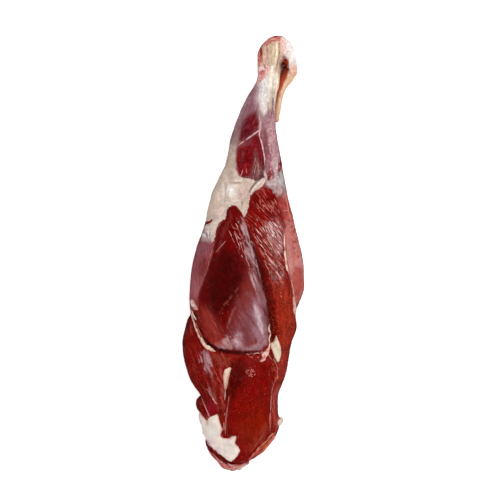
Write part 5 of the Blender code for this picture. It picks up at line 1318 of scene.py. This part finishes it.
# ================================================================ materials
class Graph:
    """Small helper for building a node tree."""

    def __init__(self, name):
        self.mat = bpy.data.materials.new(name)
        self.mat.use_nodes = True
        self.tree = self.mat.node_tree
        self.shader = self.tree.nodes["Principled BSDF"]
        self.coords = self.tree.nodes.new("ShaderNodeTexCoord").outputs["Object"]

    def link(self, value, socket):
        if isinstance(value, bpy.types.NodeSocket):
            self.tree.links.new(value, socket)
        elif isinstance(value, (tuple, list, np.ndarray)):
            value = [float(x) for x in value]
            socket.default_value = value + [1.0] if len(value) == 3 and len(socket.default_value) == 4 else value
        else:
            socket.default_value = value

    def attribute(self, name, vector=False):
        node = self.tree.nodes.new("ShaderNodeAttribute")
        node.attribute_name = name
        return node.outputs["Vector" if vector else "Fac"]

    def math(self, kind, a, b=0.0, clamp=False):
        node = self.tree.nodes.new("ShaderNodeMath")
        node.operation = kind
        node.use_clamp = clamp
        self.link(a, node.inputs[0])
        self.link(b, node.inputs[1])
        return node.outputs[0]

    def span(self, value, low, high, to_low=0.0, to_high=1.0, smooth=True):
        node = self.tree.nodes.new("ShaderNodeMapRange")
        node.interpolation_type = "SMOOTHSTEP" if smooth else "LINEAR"
        for key, x in (("Value", value), ("From Min", low), ("From Max", high), ("To Min", to_low), ("To Max", to_high)):
            self.link(x, node.inputs[key])
        return node.outputs["Result"]

    def mix(self, share, a, b, kind="MIX"):
        node = self.tree.nodes.new("ShaderNodeMix")
        node.data_type = "RGBA"
        node.blend_type = kind
        self.link(share, node.inputs["Factor"])
        self.link(a, node.inputs["A"] if False else node.inputs[6])
        self.link(b, node.inputs[7])
        return node.outputs[2]

    def noise(self, scale, detail=2.0, vector=None, rough=0.5, distortion=0.0):
        node = self.tree.nodes.new("ShaderNodeTexNoise")
        self.link(vector if vector is not None else self.coords, node.inputs["Vector"])
        node.inputs["Scale"].default_value = scale
        node.inputs["Detail"].default_value = detail
        node.inputs["Roughness"].default_value = rough
        node.inputs["Distortion"].default_value = distortion
        return node.outputs["Fac"]

    def voronoi(self, scale, vector=None):
        node = self.tree.nodes.new("ShaderNodeTexVoronoi")
        self.link(vector if vector is not None else self.coords, node.inputs["Vector"])
        node.inputs["Scale"].default_value = scale
        return node.outputs["Distance"]

    def stretch(self, vector, sx, sy, sz):
        node = self.tree.nodes.new("ShaderNodeVectorMath")
        node.operation = "MULTIPLY"
        self.link(vector, node.inputs[0])
        node.inputs[1].default_value = (sx, sy, sz)
        return node.outputs[0]

    def scale(self, colour, factor):
        node = self.tree.nodes.new("ShaderNodeVectorMath")
        node.operation = "SCALE"
        self.link(colour, node.inputs[0])
        self.link(factor, node.inputs["Scale"])
        return node.outputs[0]

    def bump(self, heights, strength, distance):
        node = self.tree.nodes.new("ShaderNodeBump")
        node.inputs["Strength"].default_value = strength
        node.inputs["Distance"].default_value = distance
        self.link(heights, node.inputs["Height"])
        return node.outputs["Normal"]


# ---- meat, membranes and fat of the body
m = Graph("raw_lamb")
fibre_at = m.attribute("fib", True)
streak = m.noise(1.0, 3.0, m.stretch(fibre_at, 0.55, 0.045, 1.0), 0.55)
hair = m.noise(1.0, 2.0, m.stretch(fibre_at, 1.6, 0.11, 1.0), 0.6)
mottle = m.noise(120.0, 3.0, None, 0.55)
grain = m.noise(600.0, 3.0, None, 0.65)
cloud = m.noise(45.0, 2.0)
strong = m.attribute("fibrous")


def swing(value, low_at, high_at, amount):
    """A factor round 1 that swings further where the fibres show more."""
    wave = m.span(value, low_at, high_at, -1.0, 1.0)
    return m.math("ADD", m.math("MULTIPLY", m.math("MULTIPLY", wave, strong), amount), 1.0)


red = m.attribute("meat", True)
red = m.scale(red, swing(streak, 0.30, 0.72, 0.42))
red = m.scale(red, swing(hair, 0.28, 0.75, 0.26))
red = m.scale(red, m.span(mottle, 0.3, 0.7, 0.80, 1.18))
red = m.scale(red, m.span(m.noise(420.0, 2.0, None, 0.6), 0.3, 0.7, 0.82, 1.18))
pale_streak = m.span(m.math("MULTIPLY", m.span(streak, 0.46, 0.68), m.span(hair, 0.44, 0.66)), 0.12, 0.6)
red = m.mix(m.math("MULTIPLY", m.math("MULTIPLY", pale_streak, strong), 0.62, True), red, tone(196, 112, 102))
speck = m.span(grain, 0.51, 0.62)
red = m.mix(m.math("MULTIPLY", m.math("MULTIPLY", speck, m.attribute("grainy")), 0.6), red, tone(188, 70, 38))
deep = m.span(m.noise(520.0, 3.0, None, 0.65), 0.51, 0.62)
red = m.mix(m.math("MULTIPLY", m.math("MULTIPLY", deep, m.attribute("grainy")), 0.4), red, tone(84, 10, 6))
# membrane
thin = m.span(m.math("ADD", m.math("MULTIPLY", streak, 0.7), m.math("MULTIPLY", mottle, 0.4)), 0.36, 0.66)
holes = m.math("MULTIPLY", m.math("ADD", m.math("MULTIPLY", strong, 0.6), 0.2), m.span(m.attribute("veil_dense"), 0.90, 0.98, 1.0, 0.1))
thin = m.math("ADD", m.math("MULTIPLY", m.math("SUBTRACT", thin, 1.0), holes), 1.0)
veil_share = m.math("MULTIPLY", m.attribute("veil_dense"), thin, True)
veil_tint = m.scale(m.attribute("veil_colour", True), m.span(hair, 0.25, 0.75, 0.84, 1.18))
veil_tint = m.scale(veil_tint, m.span(cloud, 0.3, 0.7, 0.9, 1.1))
veil_tint = m.scale(veil_tint, m.span(m.noise(380.0, 3.0, None, 0.65), 0.3, 0.7, 0.84, 1.14))
blotch = m.attribute("blotchy")
veil_tint = m.mix(m.math("MULTIPLY", m.span(m.noise(560.0, 2.0, None, 0.6), 0.52, 0.62), blotch), veil_tint, m.scale(veil_tint, 1.35))
veil_tint = m.mix(m.math("MULTIPLY", m.span(m.noise(480.0, 2.0, m.stretch(m.coords, 1.0, 0.8, 1.3), 0.6), 0.56, 0.63), blotch), veil_tint, tone(128, 52, 60))
skin = m.mix(veil_share, red, veil_tint)
# fat
fat_at = m.math("ADD", m.attribute("fat"), m.math("MULTIPLY", m.math("SUBTRACT", m.noise(420.0, 3.0), 0.5), 3.4))
fat_share = m.span(fat_at, -0.45, 0.45)
fat_tint = m.scale(m.attribute("fat_colour", True), m.span(mottle, 0.3, 0.7, 0.88, 1.08))
fat_tint = m.scale(fat_tint, m.span(m.noise(360.0, 3.0, None, 0.65), 0.3, 0.7, 0.86, 1.1))
fat_tint = m.mix(m.math("MULTIPLY", m.span(m.noise(170.0, 3.0), 0.58, 0.72), 0.3), fat_tint, tone(206, 132, 120))
fat_tint = m.mix(m.math("MULTIPLY", m.span(m.noise(330.0, 2.0), 0.62, 0.72), 0.25), fat_tint, tone(170, 138, 112))
skin = m.mix(fat_share, skin, fat_tint)
hollow_tint = m.mix(m.span(m.noise(260.0, 2.0), 0.4, 0.6), tone(120, 26, 10), tone(176, 60, 26))
skin = m.mix(m.attribute("hollow"), skin, hollow_tint)
# painted shade in the slits and creases
skin = m.mix(m.attribute("crease_shade"), skin, tone(42, 4, 3))
m.link(skin, m.shader.inputs["Base Color"])
gloss = m.span(m.noise(70.0, 3.0), 0.3, 0.7, 0.18, 0.28)
gloss = m.math("ADD", gloss, m.math("MULTIPLY", fat_share, 0.10))
m.link(gloss, m.shader.inputs["Roughness"])
m.shader.inputs["Specular IOR Level"].default_value = 0.30
m.shader.inputs["Specular Tint"].default_value = (1.0, 0.86, 0.84, 1)
relief = m.math("MULTIPLY", m.math("ADD", hair, streak), m.math("ADD", m.math("MULTIPLY", strong, 0.6), 0.12))
relief = m.math("ADD", relief, m.math("MULTIPLY", m.noise(520.0, 3.0), 0.5))
relief = m.math("ADD", relief, m.math("MULTIPLY", fat_share, 0.5))
m.link(m.bump(relief, 0.5, 0.0005), m.shader.inputs["Normal"])
body.data.materials.clear()
body.data.materials.append(m.mat)


def tissue(name, rough, spec, mottled, bump, wet=0.0):
    t = Graph(name)
    tint = t.attribute("tint", True)
    tint = t.scale(tint, t.span(t.noise(300.0, 3.0), 0.3, 0.7, 1 - mottled, 1 + mottled * 0.7))
    tint = t.mix(t.math("MULTIPLY", t.span(t.noise(210.0, 3.0), 0.6, 0.74), mottled * 1.6), tint, tone(204, 120, 106))
    t.link(tint, t.shader.inputs["Base Color"])
    t.link(t.span(t.noise(160.0, 2.0), 0.3, 0.7, rough - 0.08, rough + 0.06), t.shader.inputs["Roughness"])
    t.shader.inputs["Specular IOR Level"].default_value = spec
    t.link(t.bump(t.noise(600.0, 3.0), bump, 0.0005), t.shader.inputs["Normal"])
    return t.mat


fat_mat = tissue("lamb_fat", 0.42, 0.45, 0.06, 0.5)
fascia_mat = tissue("lamb_fascia", 0.36, 0.45, 0.12, 0.35)
tendon_mat = tissue("lamb_tendon", 0.34, 0.5, 0.12, 0.4)
for obj, mat in ((fat_piece, fat_mat), (strand_piece, fascia_mat), (thread_piece, fascia_mat), (tendon, tendon_mat)):
    obj.data.materials.clear()
    obj.data.materials.append(mat)

for obj in (body, fat_piece, strand_piece, thread_piece, tendon):
    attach(obj, "root")
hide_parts("leg")

# ================================================================ floor, light and camera
bpy.ops.mesh.primitive_plane_add(size=12.0, location=(0, 0, 0))
floor = bpy.context.object
floor.name = "floor"
ground = Graph("pale_floor")
ground.shader.inputs["Base Color"].default_value = (0.9, 0.9, 0.9, 1)
ground.shader.inputs["Emission Color"].default_value = (1, 1, 1, 1)
ground.shader.inputs["Emission Strength"].default_value = 0.58
ground.shader.inputs["Roughness"].default_value = 0.9
ground.shader.inputs["Specular IOR Level"].default_value = 0.1
floor.data.materials.append(ground.mat)
floor.visible_glossy = False


def softbox(name, where_at, aim, size, power, colour=(1, 1, 1)):
    lamp = bpy.data.lights.new(name, "AREA")
    lamp.shape = "RECTANGLE"
    lamp.size, lamp.size_y = size
    lamp.energy = power
    lamp.color = colour
    made = bpy.data.objects.new(name, lamp)
    bpy.context.scene.collection.objects.link(made)
    made.location = where_at
    made.rotation_euler = (Vector(aim) - Vector(where_at)).to_track_quat("-Z", "Y").to_euler()
    return made


for name, where_at, size, power in (
    ("overhead", (0.5, 0.2, 2.0), (1.8, 1.8), 30),
    ("fill", (-1.6, -0.2, 1.3), (1.6, 1.6), 12),
    ("far", (0.2, 2.0, 1.3), (1.4, 0.8), 9),
    ("near", (0.1, -2.0, 1.3), (1.4, 0.8), 9),
):
    softbox(name, where_at, (0, 0, 0.04), size, power).visible_glossy = False
softbox("key", (1.7, 0.8, 1.6), (0, 0, 0.04), (0.45, 0.45), 11)
softbox("kicker", (-1.9, 1.0, 1.1), (0, 0, 0.04), (0.4, 0.4), 1.4)

world = bpy.data.worlds.new("pale_room")
bpy.context.scene.world = world
world.use_nodes = True
tree_w = world.node_tree
back = tree_w.nodes["Background"]
seen = tree_w.nodes.new("ShaderNodeBackground")
seen.inputs["Color"].default_value = (0.93, 0.93, 0.93, 1)
back.inputs["Color"].default_value = (1, 1, 1, 1)
back.inputs["Strength"].default_value = 0.10
path_node = tree_w.nodes.new("ShaderNodeLightPath")
pick = tree_w.nodes.new("ShaderNodeMixShader")
dim = tree_w.nodes.new("ShaderNodeMapRange")  # the room around the lamps is dark where the wet meat mirrors it
tree_w.links.new(path_node.outputs["Is Glossy Ray"], dim.inputs["Value"])
dim.inputs["To Min"].default_value = 0.10
dim.inputs["To Max"].default_value = 0.02
tree_w.links.new(dim.outputs["Result"], back.inputs["Strength"])
tree_w.links.new(path_node.outputs["Is Camera Ray"], pick.inputs[0])
tree_w.links.new(back.outputs[0], pick.inputs[1])
tree_w.links.new(seen.outputs[0], pick.inputs[2])
tree_w.links.new(pick.outputs[0], tree_w.nodes["World Output"].inputs["Surface"])
bpy.context.scene.view_settings.view_transform = "Standard"

cam_data = bpy.data.cameras.new("camera")
cam_data.lens = 135
cam_data.sensor_width = 36
cam_data.clip_end = 50
cam = bpy.data.objects.new("camera", cam_data)
bpy.context.scene.collection.objects.link(cam)
centre = to_frame(np.array([[250.5, 250.2, 0.0]]))[0]
cam.location = (centre[0], centre[1], 0.030 + 501 * GRID / (36 / 135))
cam.rotation_euler = (0, 0, LEAN)
bpy.context.scene.camera = cam
